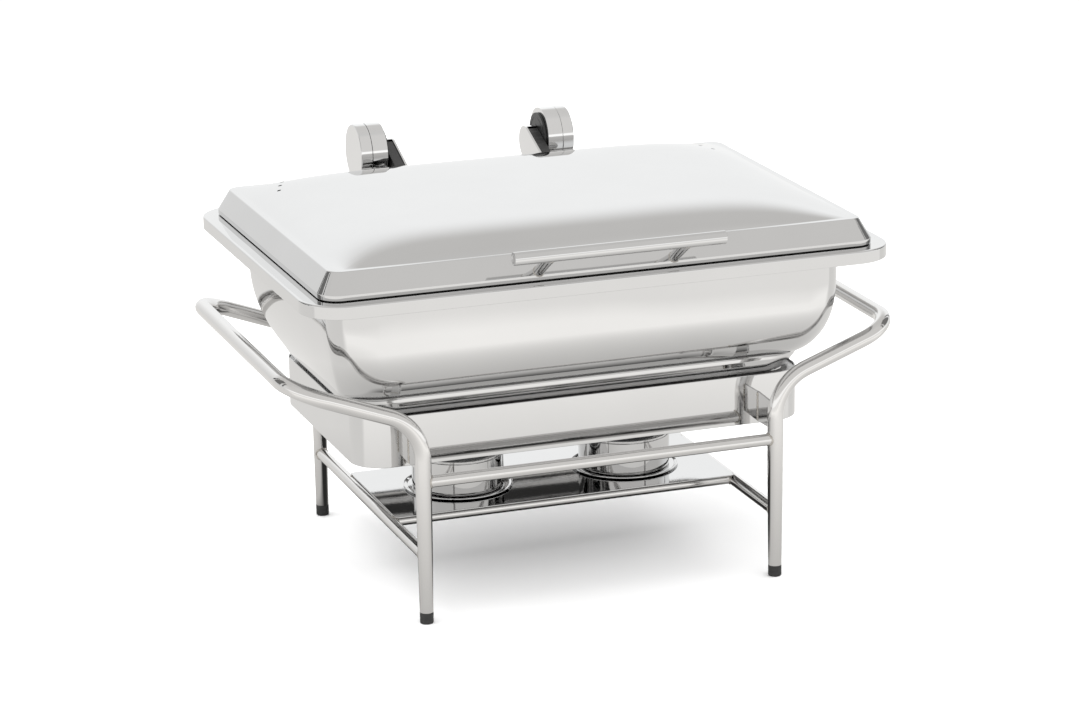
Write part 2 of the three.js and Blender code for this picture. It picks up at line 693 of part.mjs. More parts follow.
// The lid's back slope and pillow as a block, so the arm's foot sits on the lid's outside.
function lidKeepOut(startX, endX) {
  const back = LIP.halfY + GAP * 1.2;
  const shoulder = SHOULDER.halfY + GAP * 1.2;
  const outline = new THREE.Shape([
    new THREE.Vector2(0, LIP.bottomZ - 30), new THREE.Vector2(back, LIP.bottomZ - 30),
    new THREE.Vector2(back, LIP.bottomZ + LIP.height), new THREE.Vector2(shoulder, SHOULDER.z),
    new THREE.Vector2(shoulder - 8, SHOULDER.z + 9), new THREE.Vector2(0, SHOULDER.z + 60),
  ]);
  return acrossX(outline, endX - startX + 20).translate(startX - 10, 0, 0);
}

// A chrome cover around a black plastic core. It is open on top and on the drum's side.
function hingeArm() {
  const pocket = armBar(ARM.sheet, -5, ARM.innerX + ARM.sheet, ARM.outerX + 5);
  return cut(armBar(0, 0, ARM.innerX, ARM.outerX), pocket);
}

function hingeArmCore() {
  const core = armBar(ARM.sheet + GAP, 1, ARM.innerX + ARM.sheet + GAP, ARM.outerX);
  const bore = barAlongX(SHAFT_RADIUS + GAP, 60, 20).translate(ARM.innerX, HINGE_Y, HINGE_Z);
  return cut(core, bore);
}

function addHinges(group) {
  for (const [side, sign] of [["right", 1], ["left", -1]]) {
    const hinge = new THREE.Group();
    hinge.scale.x = sign;
    hinge.add(piece(`hinge_housing_${side}`, hingeHousing(), chrome()));
    hinge.add(piece(`hinge_cap_${side}`, hingeCap(), chrome()));
    hinge.add(piece(`hinge_damper_${side}`, hingeDamper(), blackPlastic()));
    hinge.add(piece(`hinge_shaft_${side}`, hingeShaft(), plainSteel()));
    hinge.add(piece(`hinge_washer_${side}`, hingeWasher(), blackPlastic()));
    hinge.add(piece(`hinge_arm_${side}`, hingeArm(), chrome()));
    hinge.add(piece(`hinge_arm_core_${side}`, hingeArmCore(), blackPlastic()));
    for (const [place, x] of [["inner", screwCentres()[0]], ["outer", screwCentres()[1]]]) {
      const screw = piece(`hinge_screw_${place}_${side}`, hingeScrew(), plainSteel());
      screw.position.x = x;
      hinge.add(screw);
    }
    group.add(hinge);
  }
}

function addChafer(group) {
  group.add(piece("water_pan", waterPan(), mirrorSteel()));
  group.add(piece("rim_frame", rimFrame(), mirrorSteel()));
  group.add(piece("food_pan", foodPan(), plainSteel()));
  group.add(piece("lid_shell", lidShell(), mirrorSteel()));
  group.add(piece("lid_gasket", lidGasket(), blackRubber()));
  const rod = piece("lid_handle_rod", handleRod(), mirrorSteel());
  rod.position.set(0, HANDLE_ROD.y, HANDLE_ROD.z);
  group.add(rod);
  for (const [side, sign] of [["right", 1], ["left", -1]]) {
    const post = piece(`lid_handle_post_${side}`, handlePost(), mirrorSteel());
    post.position.x = sign * POST_X;
    group.add(post);
  }
}

const chafingDish = new THREE.Group();
addStand(chafingDish);
addBurners(chafingDish);
addChafer(chafingDish);
addHinges(chafingDish);

const frontY = HANDLE_ROD.y - HANDLE_ROD.radius;
const backY = HINGE_Y + DRUM_RADIUS;
chafingDish.position.y = -(frontY + backY) / 2;

export default chafingDish;
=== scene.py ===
import math

import bmesh
import bpy
import numpy as np
from mathutils import Matrix, Vector


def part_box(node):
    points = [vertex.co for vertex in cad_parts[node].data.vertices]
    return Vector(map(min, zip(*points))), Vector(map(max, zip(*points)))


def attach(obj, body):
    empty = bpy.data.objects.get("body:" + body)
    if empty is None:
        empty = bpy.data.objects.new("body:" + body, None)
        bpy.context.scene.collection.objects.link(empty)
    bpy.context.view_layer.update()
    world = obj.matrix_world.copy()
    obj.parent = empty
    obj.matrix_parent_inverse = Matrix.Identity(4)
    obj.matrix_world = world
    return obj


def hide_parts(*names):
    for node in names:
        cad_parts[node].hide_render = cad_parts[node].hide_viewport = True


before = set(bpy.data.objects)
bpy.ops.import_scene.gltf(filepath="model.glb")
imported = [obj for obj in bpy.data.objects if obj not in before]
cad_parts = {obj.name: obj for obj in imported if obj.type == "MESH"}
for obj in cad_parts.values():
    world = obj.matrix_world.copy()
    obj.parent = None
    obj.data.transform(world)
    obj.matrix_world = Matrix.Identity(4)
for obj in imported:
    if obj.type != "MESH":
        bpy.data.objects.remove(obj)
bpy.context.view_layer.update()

MM = 0.001
SIDES = (("left", -1), ("right", 1))
ENDS = (("front", -1), ("back", 1))
RIGHTWARDS = np.array((1.0, 0, 0))
SCREW_HOLE_R = 2.1 * MM
SHAFT_HOLE_R = 4.3 * MM


# ---- where the CAD pieces are
def feet_middle():
    """The point on the floor between the four feet. The lengths below are measured from here."""
    feet = [f"foot_cap_{end}_{side}" for end, _ in ENDS for side, _ in SIDES]
    return np.mean([np.mean(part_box(foot), 0) for foot in feet], 0) * (1, 1, 0)


CENTRE = feet_middle()


def low(node):
    return np.array(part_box(node)[0]) - CENTRE


def high(node):
    return np.array(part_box(node)[1]) - CENTRE


def z_span(node):
    return low(node)[2], high(node)[2]


def middle(node):
    return (low(node) + high(node)) / 2


def half(node):
    return (high(node) - low(node)) / 2


# ---- node materials
class Tree:
    """A small writer of shader node trees."""

    def __init__(self, node_tree):
        self.tree = node_tree
        self.tree.nodes.clear()

    def add(self, kind, inputs=None, **settings):
        node = self.tree.nodes.new(kind)
        for key, value in settings.items():
            setattr(node, key, value)
        for key, value in (inputs or {}).items():
            self.set(node, key, value)
        return node

    def set(self, node, key, value):
        if isinstance(value, bpy.types.NodeSocket):
            self.tree.links.new(value, node.inputs[key])
        else:
            node.inputs[key].default_value = value

    def math(self, operation, a, b=0.0):
        return self.add("ShaderNodeMath", {0: a, 1: b}, operation=operation).outputs[0]

    def noise(self, vector, scale, detail=3.0, rough=0.5):
        inputs = {"Vector": vector, "Scale": scale, "Detail": detail, "Roughness": rough}
        return self.add("ShaderNodeTexNoise", inputs).outputs["Fac"]

    def stretch(self, vector, scale):
        return self.add("ShaderNodeMapping", {"Vector": vector, "Scale": scale}).outputs[0]

    def remap(self, value, from_low, from_high, to_low, to_high, smooth=False):
        node = self.add("ShaderNodeMapRange", {0: value, 1: from_low, 2: from_high, 3: to_low, 4: to_high})
        node.interpolation_type = "SMOOTHSTEP" if smooth else "LINEAR"
        return node.outputs[0]

    def blend(self, factor, a, b, mode="MIX"):
        node = self.add("ShaderNodeMix", data_type="RGBA", blend_type=mode)
        self.set(node, 0, factor)
        self.set(node, 6, a)
        self.set(node, 7, b)
        return node.outputs[2]

    def bump(self, height, strength, distance, normal=None):
        inputs = {"Height": height, "Strength": strength, "Distance": distance}
        if normal is not None:
            inputs["Normal"] = normal
        return self.add("ShaderNodeBump", inputs).outputs[0]


def node_material(name):
    material = bpy.data.materials.new(name)
    material.use_nodes = True
    return material, Tree(material.node_tree)


def start_material(name):
    """A material, its nodes, its principled shader and the shaded point in the object's own frame."""
    material, tree = node_material(name)
    shader = tree.add("ShaderNodeBsdfPrincipled")
    tree.add("ShaderNodeOutputMaterial", {0: shader.outputs[0]})
    point = tree.add("ShaderNodeTexCoord").outputs["Object"]
    return material, tree, shader, point


def grey(value, warm=0.0):
    return (value * (1 + warm), value, value * (1 - warm), 1)


def steel_material(name, tone, rough, wave, grain, grain_depth, warm=0.0):
    """Polished metal: cloudy wiping marks, fine drawn grain and a slow wave in the sheet."""
    material, tree, shader, point = start_material(name)
    clouds = tree.noise(point, 9.0, 4.0, 0.6)
    marks = tree.noise(tree.stretch(point, grain), 900.0, 2.0, 0.6)
    specks = tree.noise(point, 2600.0, 1.0)
    cloudy = tree.remap(clouds, 0.3, 0.7, 0, 1)
    tree.set(shader, "Base Color", tree.blend(cloudy, grey(tone * 0.985, warm), grey(tone * 1.015, warm)))
    tree.set(shader, "Metallic", 1.0)
    smudge = tree.remap(clouds, 0.35, 0.75, rough * 0.75, rough * 1.35)
    streak = tree.remap(marks, 0.35, 0.75, 0.0, rough * 0.35)
    speck = tree.remap(specks, 0.6, 0.8, 0.0, rough * 0.3)
    tree.set(shader, "Roughness", tree.math("ADD", tree.math("ADD", smudge, streak), speck))
    normal = tree.bump(marks, 1.0, grain_depth)
    tree.set(shader, "Normal", tree.bump(tree.noise(point, 5.0, 1.0, 0.4), 1.0, wave, normal))
    return material


def weld_material():
    """Welded metal: dull, rippled, with a straw tint left by the heat."""
    material, tree, shader, point = start_material("weld_steel")
    patches = tree.noise(point, 260.0, 3.0)
    tree.set(shader, "Base Color", tree.blend(patches, (0.36, 0.33, 0.29, 1), (0.68, 0.66, 0.63, 1)))
    tree.set(shader, "Metallic", 1.0)
    tree.set(shader, "Roughness", tree.remap(patches, 0.3, 0.7, 0.2, 0.42))
    tree.set(shader, "Normal", tree.bump(tree.noise(point, 1500.0, 2.0), 0.5, 0.0003))
    return material


def polymer_material(name, tone, rough, scale, depth, dust=0.03):
    """Moulded rubber or plastic: fine surface texture, faint scuffs and a little dust."""
    material, tree, shader, point = start_material(name)
    scuffs = tree.noise(tree.stretch(point, (1, 6, 1)), 60.0, 4.0, 0.65)
    scuffed = tree.remap(scuffs, 0.55, 0.8, 0, 1)
    tree.set(shader, "Base Color", tree.blend(scuffed, grey(tone), grey(tone + dust)))
    tree.set(shader, "Roughness", tree.remap(scuffs, 0.3, 0.8, rough * 0.85, rough * 1.2))
    tree.set(shader, "Normal", tree.bump(tree.noise(point, scale, 2.0), 0.6, depth))
    return material


def gel_material():
    """Fuel gel: wet, with a slow swirl. Its near-black colour is partly the gel's own and partly painted
    shade for the shadowed inside of the cup.
    """
    material, tree, shader, point = start_material("fuel_gel")
    swirl = tree.noise(point, 45.0, 4.0)
    # Partly painted shade: these near-black colours also stand for the shade inside the cup.
    tree.set(shader, "Base Color", tree.blend(swirl, (0.05, 0.055, 0.06, 1), (0.13, 0.14, 0.15, 1)))
    tree.set(shader, "Roughness", tree.remap(swirl, 0.3, 0.7, 0.12, 0.3))
    tree.set(shader, "Normal", tree.bump(swirl, 0.6, 0.002))
    return material


SHEET = steel_material("mirror_sheet", 0.66, 0.03, 0.0012, (1, 14, 14), 0.000002)
SPUN = steel_material("mirror_spun", 0.66, 0.03, 0.0006, (3, 3, 40), 0.000003)
TUBE = steel_material("tube_polish", 0.7, 0.075, 0.0008, (2, 2, 2), 0.000008, warm=0.01)
SATIN = steel_material("satin_steel", 0.55, 0.28, 0.0015, (1, 30, 30), 0.00001)
CHROME = steel_material("hinge_chrome", 0.76, 0.03, 0.0004, (2, 2, 2), 0.000002)
WELD = weld_material()
RUBBER = polymer_material("foot_rubber", 0.018, 0.6, 1400.0, 0.0002)
# The seal's near-black tone is partly a dark seal and partly painted shade for the gap under the lid's lip.
SEAL = polymer_material("seal_rubber_and_gap_shade", 0.012, 0.55, 1200.0, 0.0002, dust=0.015)
PLASTIC = polymer_material("hinge_plastic", 0.014, 0.38, 1800.0, 0.00012)
GEL = gel_material()


# ---- meshes
def link(obj):
    bpy.context.scene.collection.objects.link(obj)


def make_object(name, vertices, faces, material):
    """A mesh given from the middle of the feet. Its faces are turned to point out."""
    mesh = bpy.data.meshes.new(name)
    mesh.from_pydata([tuple(v) for v in np.array(vertices) + CENTRE], [], [tuple(f) for f in faces])
    mesh.validate()
    if len(faces) > 1:
        solid = bmesh.new()
        solid.from_mesh(mesh)
        bmesh.ops.recalc_face_normals(solid, faces=solid.faces)
        solid.to_mesh(mesh)
        solid.free()
    mesh.update()
    mesh.materials.append(material)
    obj = bpy.data.objects.new(name, mesh)
    link(obj)
    return obj


def bake_modifiers(obj):
    graph = bpy.context.evaluated_depsgraph_get()
    mesh = bpy.data.meshes.new_from_object(obj.evaluated_get(graph))
    obj.modifiers.clear()
    obj.data = mesh
    return obj


def carve(obj, shape, operation="DIFFERENCE"):
    """Cuts a shape out of an object, or joins it on."""
    tool = make_object("tool", *shape, obj.data.materials[0])
    modifier = obj.modifiers.new("carve", "BOOLEAN")
    modifier.operation = operation
    modifier.solver = "EXACT"
    modifier.object = tool
    bake_modifiers(obj)
    bpy.data.objects.remove(tool)


def drill(obj, radius, reach, sides, axis, centre):
    """Cuts a round hole that runs for reach to each side of centre."""
    profile = [(0, -reach), (radius, -reach), (radius, reach), (0, reach)]
    carve(obj, turned(profile, sides, axis, centre))


def soften(obj, width, segments=3, angle=35):
    modifier = obj.modifiers.new("soften", "BEVEL")
    modifier.width = width
    modifier.segments = segments
    modifier.limit_method = "ANGLE"
    modifier.angle_limit = math.radians(angle)
    modifier.use_clamp_overlap = True
    return bake_modifiers(obj)


def smooth(obj, angle):
    for polygon in obj.data.polygons:
        polygon.use_smooth = True
    obj.data.set_sharp_from_angle(angle=math.radians(angle))
    return obj


def shade(obj, angle):
    """Smooth, with the shading of the large faces kept flat."""
    modifier = smooth(obj, angle).modifiers.new("shade", "WEIGHTED_NORMAL")
    modifier.keep_sharp = True
    modifier.mode = "FACE_AREA"
    return bake_modifiers(obj)


def place(obj, body, slot, *nodes):
    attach(obj, body)
    if nodes:
        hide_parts(*nodes)
    return obj


def merge(parts):
    vertices, faces, offset = [], [], 0
    for part_vertices, part_faces in parts:
        vertices.extend(part_vertices)
        faces.extend([tuple(index + offset for index in face) for face in part_faces])
        offset += len(part_vertices)
    return vertices, faces


def skin(rings, looped=False, caps=True):
    """Quads between closed outlines, with a cap on each end or the last outline joined to the first."""
    count = len(rings[0])
    faces = []
    bands = len(rings) if looped else len(rings) - 1
    for band in range(bands):
        here, there = band * count, ((band + 1) % len(rings)) * count
        for side in range(count):
            following = (side + 1) % count
            faces.append((here + side, here + following, there + following, there + side))
    if caps and not looped:
        last = (len(rings) - 1) * count
        faces.append(tuple(reversed(range(count))))
        faces.append(tuple(last + side for side in range(count)))
    return [v for ring in rings for v in ring], faces


def rounded(half_x, half_y, corner, corner_steps=12, along=(1, 1)):
    """A rectangle with round corners, anticlockwise. along subdivides its X sides and Y sides."""
    arcs = []
    for quadrant, (sx, sy) in enumerate(((1, 1), (-1, 1), (-1, -1), (1, -1))):
        angle = (quadrant + np.linspace(0, 1, corner_steps + 1)) * np.pi / 2
        arcs.append(np.stack([sx * (half_x - corner) + corner * np.cos(angle),
                              sy * (half_y - corner) + corner * np.sin(angle)], 1))
    outline = []
    for quadrant, arc in enumerate(arcs):
        following = arcs[(quadrant + 1) % 4][0]
        steps = along[quadrant % 2]
        outline.extend(arc)
        outline.extend(arc[-1] + (following - arc[-1]) * k / steps for k in range(1, steps))
    return np.array(outline)


def level(outline, z):
    return np.column_stack([outline, np.full(len(outline), z)])


def fillet(points, radii, steps=4, support=0.4 * MM):
    """Rounds the inner corners of a 2-D line. Short flats beside each round keep the shading crisp."""
    points = [np.array(p, float) for p in points]
    radii = np.broadcast_to(radii, len(points) - 2)
    out = [points[0]]
    for before, corner, after, radius in zip(points, points[1:], points[2:], radii):
        u, v = before - corner, after - corner
        lu, lv = np.linalg.norm(u), np.linalg.norm(v)
        u, v = u / lu, v / lv
        opening = math.acos(max(-1, min(1, float(u @ v))))
        reach = min(radius / math.tan(opening / 2), 0.45 * lu, 0.45 * lv)
        start, end = corner + u * reach, corner + v * reach
        spare = min(support, 0.04 * lu, 0.04 * lv)
        out.append(start + u * spare)
        for t in np.linspace(0, 1, steps + 1):
            out.append((1 - t) ** 2 * start + 2 * t * (1 - t) * corner + t ** 2 * end)
        out.append(end + v * spare)
    out.append(points[-1])
    return out


def turned(profile, sides=64, axis="z", centre=(0, 0, 0), looped=False):
    """A turned solid from (radius, height) points that start and end on the axis, or loop round a bore."""
    angle = np.linspace(0, 2 * np.pi, sides, endpoint=False)
    rings = []
    for radius, height in profile:
        r = max(radius, 1e-6)
        rings.append(np.stack([r * np.cos(angle), r * np.sin(angle), np.full(sides, height)], 1))
    vertices, faces = skin(rings, looped)
    order = {"x": [2, 0, 1], "y": [1, 2, 0], "z": [0, 1, 2]}[axis]
    return np.array(vertices)[:, order] + np.array(centre), faces


def banded(profile, half_x, half_y, corner, corner_steps, along=(1, 1)):
    """A rounded outline for each (offset, height) of a profile. Offsets run outwards."""
    rings = []
    for offset, z in profile:
        round_corner = max(corner + offset, 1 * MM)
        rings.append(level(rounded(half_x + offset, half_y + offset, round_corner, corner_steps, along), z))
    return rings


def prism(outline, x_start, x_end):
    """A Y-Z outline extruded along X."""
    outline = np.array(outline)
    rings = [np.column_stack([np.full(len(outline), x), outline]) for x in sorted((x_start, x_end))]
    return skin(rings)


def sweep(path, radii, sides=28, closed=False, caps=True, up=None):
    """A round tube of the given radius or radii along a line of points."""
    path = np.array(path)
    radii = np.broadcast_to(radii, len(path))
    if closed:
        tangents = np.roll(path, -1, 0) - np.roll(path, 1, 0)
    else:
        tangents = np.gradient(path, axis=0)
    tangents /= np.linalg.norm(tangents, axis=1)[:, None]
    if up is None:
        side = np.cross(tangents[0], (0.3, 0.5, 0.8))
    else:
        up = np.broadcast_to(up, path.shape)
    angle = np.linspace(0, 2 * np.pi, sides, endpoint=False)
    rings = []
    for index, (point, tangent, radius) in enumerate(zip(path, tangents, radii)):
        side = side if up is None else up[index]
        side = side - tangent * (side @ tangent)
        side = side / np.linalg.norm(side)
        other = np.cross(tangent, side)
        rings.append(point + radius * (np.outer(np.cos(angle), side) + np.outer(np.sin(angle), other)))
    return skin(rings, looped=closed, caps=caps)


# ---- the stand's bent tubes
LEG_X = middle("foot_cap_front_right")[0]
LEG_Y = -middle("foot_cap_front_right")[1]
TUBE_R = 8 * MM
TUBE_WALL = 1.2 * MM
TUBE_SIDES = 36
LEG_END_R = 6.6 * MM
TAPER_TOP = 140 * MM
ARM_BEND_R = 50 * MM
HANDLE_BEND_R = 38 * MM
FOOT_TOP = low("end_frame_right")[2]
HANDLE_X = high("end_frame_right")[0] - TUBE_R
HANDLE_Z = high("end_frame_right")[2] - TUBE_R
ARM_ROOT_Z = HANDLE_Z - 48 * MM


def bent_path(corners, radii, bend_steps=16, spacing=12 * MM):
    corners = [np.array(c, float) for c in corners]
    marks = [corners[0]]
    for before, corner, after, radius in zip(corners, corners[1:], corners[2:], radii):
        incoming = (corner - before) / np.linalg.norm(corner - before)
        outgoing = (after - corner) / np.linalg.norm(after - corner)
        turn = math.acos(float(incoming @ outgoing))
        start = corner - incoming * radius * math.tan(turn / 2)
        across = outgoing - incoming * (incoming @ outgoing)
        across /= np.linalg.norm(across)
        for angle in np.linspace(0, turn, bend_steps + 1):
            marks.append(start + radius * (incoming * math.sin(angle) + across * (1 - math.cos(angle))))
    marks.append(corners[-1])
    path = [marks[0]]
    for here, there in zip(marks, marks[1:]):
        steps = max(1, int(round(np.linalg.norm(there - here) / spacing)))
        path.extend(here + (there - here) * k / steps for k in range(1, steps + 1))
    return np.array(path)


def leg_radius(z):
    share = np.clip((z - FOOT_TOP) / (TAPER_TOP - FOOT_TOP), 0, 1)
    return LEG_END_R + (TUBE_R - LEG_END_R) * share


def build_end_frames():
    """Bent tubes that are open at the feet: an outer and an inner surface, joined by a ring at each end."""
    for side, sign in SIDES:
        path = bent_path([
            (sign * LEG_X, -LEG_Y, FOOT_TOP), (sign * LEG_X, -LEG_Y, ARM_ROOT_Z),
            (sign * HANDLE_X, -LEG_Y, HANDLE_Z), (sign * HANDLE_X, LEG_Y, HANDLE_Z),
            (sign * LEG_X, LEG_Y, ARM_ROOT_Z), (sign * LEG_X, LEG_Y, FOOT_TOP),
        ], [ARM_BEND_R, HANDLE_BEND_R, HANDLE_BEND_R, ARM_BEND_R])
        radii = leg_radius(path[:, 2])
        outer = sweep(path, radii, TUBE_SIDES, caps=False)
        inner = sweep(path, radii - TUBE_WALL, TUBE_SIDES, caps=False)
        vertices, faces = merge([outer, inner])
        inside = len(outer[0])
        for first in (0, inside - TUBE_SIDES):
            for k in range(TUBE_SIDES):
                here, following = first + k, first + (k + 1) % TUBE_SIDES
                faces.append((following, here, here + inside, following + inside))
        obj = make_object(f"end_tube_{side}", vertices, faces, TUBE)
        place(smooth(obj, 50), "stand", "tube_steel", f"end_frame_{side}")


def ripple(count, base, depth, seed):
    """A bead's uneven thickness."""
    rng = np.random.default_rng(seed)
    t = np.linspace(0, 2 * np.pi, count, endpoint=False)
    wave = sum(rng.uniform(0.4, 1) * np.sin(k * t + rng.uniform(0, 6.3)) for k in (5, 9, 14))
    return base * (1 + depth * wave / 2)


def bead(curve, radius, seed):
    curve = np.array(curve)
    outward = curve - curve.mean(0)
    return sweep(curve, ripple(len(curve), radius, 0.22, seed), 10, closed=True, up=outward)


def build_rails():
    """Round bars, shaped at their ends to the tubes they meet, with a bead of weld at each end."""
    angle = np.linspace(0, 2 * np.pi, 48, endpoint=False)
    beads = []

    def bar(name, axis, meets):
        """meets gives how far out the neighbouring tube's surface is, for points round the bar."""
        centre, radius = middle(name), half(name)[2]
        across, above = radius * np.cos(angle), radius * np.sin(angle)
        end = meets(across, above)
        rings = []
        for share in np.linspace(-1, 1, 25):
            along = share * end
            columns = (along, across, above) if axis == "x" else (-across, along, above)
            rings.append(np.column_stack(columns) + centre)
        obj = make_object(f"{name}_bar", *skin(rings), TUBE)
        place(smooth(obj, 50), "stand", "tube_steel", name)
        seed = len(beads) + 3
        beads.extend([bead(rings[0], 1 * MM, seed), bead(rings[-1], 1 * MM, seed)])

    for end, _ in ENDS:
        bar(f"upper_rail_{end}", "x", lambda across, above: LEG_X - np.sqrt(TUBE_R ** 2 - across ** 2))
    for side, _ in SIDES:
        name = f"lower_side_rail_{side}"
        leg = leg_radius(middle(name)[2])
        bar(name, "y", lambda across, above: LEG_Y - np.sqrt(leg ** 2 - across ** 2))
    side_rail_z = middle("lower_side_rail_left")[2]
    side_rail_r = half("lower_side_rail_left")[2]
    for end, _ in ENDS:
        name = f"shelf_rail_{end}"
        drop = middle(name)[2] - side_rail_z
        bar(name, "x", lambda across, above: LEG_X - np.sqrt(side_rail_r ** 2 - (above + drop) ** 2))
    obj = make_object("stand_rail_welds", *merge(beads), WELD)
    place(smooth(obj, 80), "stand", "tube_steel")


def build_feet():
    for end, _ in ENDS:
        for side, _ in SIDES:
            node = f"foot_cap_{end}_{side}"
            centre, radius = middle(node), half(node)[0]
            top = FOOT_TOP - 0.2 * MM
            stem = LEG_END_R - 1.5 * MM
            profile = fillet([
                (0, 0), (radius, 0), (radius, 4.6 * MM), (radius - 0.35 * MM, 5.2 * MM),
                (radius, 5.8 * MM), (radius, top), (stem, top), (stem, top + 12 * MM), (0, top + 12 * MM),
            ], [1.1 * MM, 0.2 * MM, 0.2 * MM, 0.2 * MM, 0.7 * MM, 0.2 * MM, 0.6 * MM])
            mesh = turned(profile, 48, centre=(centre[0], centre[1], 0))
            obj = make_object(f"{node}_rubber", *mesh, RUBBER)
            place(smooth(obj, 60), "stand", "foot_rubber", node)


# ---- support ring and tray
def build_ring():
    hx, hy, _ = half("support_ring")
    bottom, top = z_span("support_ring")
    waist, wall, corner = (bottom + top) / 2, 1.5 * MM, 33 * MM
    profile = fillet([
        (-wall, waist), (-wall, bottom), (0, bottom), (0, top), (-wall, top), (-wall, waist),
    ], 0.6 * MM, support=0.3 * MM)[:-1]
    rings = banded(profile, hx, hy, corner, 16, (24, 14))
    obj = make_object("support_ring_band", *skin(rings, looped=True), SHEET)
    place(shade(obj, 50), "stand", "mirror_steel", "support_ring")


def build_ledge():
    """An angle inside the ring: an upright leg, and a shelf for the pan's foot."""
    hx, hy, _ = half("ring_ledge")
    bottom, top = z_span("ring_ledge")
    sheet, leg_bottom, shelf, corner = 2 * MM, bottom - 8 * MM, 12.2 * MM, 31 * MM
    profile = fillet([
        (-sheet, (bottom + top) / 2), (-sheet, leg_bottom), (0, leg_bottom), (0, top),
        (-shelf, top), (-shelf, bottom), (-sheet, bottom),
    ], 0.4 * MM, steps=3, support=0.2 * MM)[:-1]
    rings = banded(profile, hx, hy, corner, 10)
    obj = make_object("ring_ledge_angle", *skin(rings, looped=True), SATIN)
    place(shade(obj, 50), "stand", "plain_steel", "ring_ledge")


def build_brackets():
    """Short plates from the ring to the legs, with a bead of weld down each side at both ends."""
    beads = []
    for end, sy in ENDS:
        for side, _ in SIDES:
            node = f"ring_bracket_{end}_{side}"
            lo, hi = low(node), high(node)
            near = hi[1] if sy < 0 else lo[1]
            tip = sy * (LEG_Y - TUBE_R + 0.2 * MM)
            outline = [(near, lo[2]), (tip, lo[2] + 1.5 * MM), (tip, hi[2] - 1.5 * MM), (near, hi[2])]
            obj = make_object(f"{node}_plate", *prism(outline, lo[0], hi[0]), SHEET)
            soften(obj, 0.5 * MM)
            place(shade(obj, 30), "stand", "mirror_steel", node)
            x = (lo[0] + hi[0]) / 2
            for y, margin, seed in ((near, 1 * MM, 50), (tip, 2 * MM, 90)):
                for x_off in (1.2 * MM, -1.2 * MM):
                    line = [(x + x_off, y, z) for z in np.linspace(lo[2] + margin, hi[2] - margin, 26)]
                    radii = ripple(len(line), 0.9 * MM, 0.25, len(beads) + seed)
                    beads.append(sweep(line, radii, 10, up=RIGHTWARDS))
    obj = make_object("stand_bracket_welds", *merge(beads), WELD)
    place(smooth(obj, 80), "stand", "mirror_steel")


def build_tray():
    bottom, top = z_span("burner_tray")
    hx, hy, _ = half("burner_tray")
    inward, corner = 6 * MM, 4 * MM
    profile = fillet([
        (-inward, bottom), (0, bottom), (0, top), (-inward, top),
    ], 0.35 * MM, steps=3, support=0.2 * MM)
    obj = make_object("burner_tray_plate", *skin(banded(profile, hx, hy, corner, 8, (30, 14))), SHEET)
    place(shade(obj, 40), "stand", "mirror_steel", "burner_tray")


# ---- burners
def add_burner_piece(node, points, radii, steps, material, slot, sides=112):
    """A turned piece of a burner, from a profile whose corners are rounded."""
    _, name = node.split("_", 1)
    _, side = name.split("_")
    mesh = turned(fillet(points, radii, steps=steps), sides, centre=middle(node) * (1, 1, 0))
    place(shade(make_object(name, *mesh, material), 50), f"burner_{side}", slot, node)


def build_saucer(side):
    node = f"burner_saucer_{side}"
    r, z0 = half(node)[0], low(node)[2]
    flat, sheet = r - 3.2 * MM, 0.8 * MM
    add_burner_piece(node, [
        (0, z0), (flat, z0), (r - 0.7 * MM, z0 + 1.2 * MM), (r, z0 + 1.3 * MM), (r, z0 + 2.1 * MM),
        (r - 1.4 * MM, z0 + 2 * MM), (flat - 0.4 * MM, z0 + sheet), (0, z0 + sheet),
    ], np.array((1.5, 0.5, 0.3, 0.3, 0.8, 1.5)) * MM, 5, SPUN, "mirror_steel")


def build_cup(side):
    """A deep cup with a rolled lip and a groove below it."""
    node = f"burner_cup_{side}"
    r, z0, z1 = half(node)[0], *z_span(node)
    outside, groove, roll = r - 0.4 * MM, r - 1.1 * MM, r - 1.9 * MM
    inside, floor = r - 1.4 * MM, z0 + 0.9 * MM
    add_burner_piece(node, [
        (0, z0), (outside, z0), (outside, z1 - 3 * MM), (groove, z1 - 2.4 * MM), (groove, z1 - 1.7 * MM),
        (r, z1 - 1.4 * MM), (r, z1), (roll, z1), (roll, z1 - 3.2 * MM), (inside, z1 - 4 * MM),
        (inside, floor), (0, floor),
    ], np.array((2.2, 0.2, 0.2, 0.2, 0.3, 0.7, 0.7, 0.4, 0.4, 1.8)) * MM, 5, SPUN, "mirror_steel")


def build_tin(side):
    """A tin with a seam round its top and its bottom, and an open mouth."""
    node = f"fuel_tin_{side}"
    r, z0, z1 = half(node)[0], *z_span(node)
    mouth, side_r, inside = r - 9 * MM, r - 0.8 * MM, r - 1.6 * MM
    add_burner_piece(node, [
        (0, z0 + 1.2 * MM), (r - 2.6 * MM, z0 + 1.2 * MM), (r - 2.4 * MM, z0), (r, z0), (r, z0 + 1.6 * MM),
        (side_r, z0 + 2.4 * MM), (side_r, z1 - 2.4 * MM), (r, z1 - 1.6 * MM), (r, z1),
        (r - 2.2 * MM, z1), (r - 2.6 * MM, z1 - 1.4 * MM), (mouth, z1 - 1.2 * MM), (mouth, z1 - 2 * MM),
        (inside, z1 - 2.4 * MM), (inside, z0 + 2 * MM), (0, z0 + 2 * MM),
    ], 0.35 * MM, 3, SATIN, "plain_steel", 96)


def build_gel(side):
    node = f"fuel_gel_{side}"
    r, z0, z1 = half(node)[0] - 0.6 * MM, low(node)[2] + 1.4 * MM, high(node)[2]
    add_burner_piece(node, [
        (0, z0), (r, z0), (r, z1), (r - 2 * MM, z1 - 1.2 * MM), (r * 0.5, z1 - 2 * MM), (0, z1 - 1.6 * MM),
    ], np.array((1, 0.3, 1.5, 8)) * MM, 5, GEL, "fuel_gel", 96)


def build_burners():
    for side, _ in SIDES:
        build_saucer(side)
        build_cup(side)
        build_tin(side)
        build_gel(side)


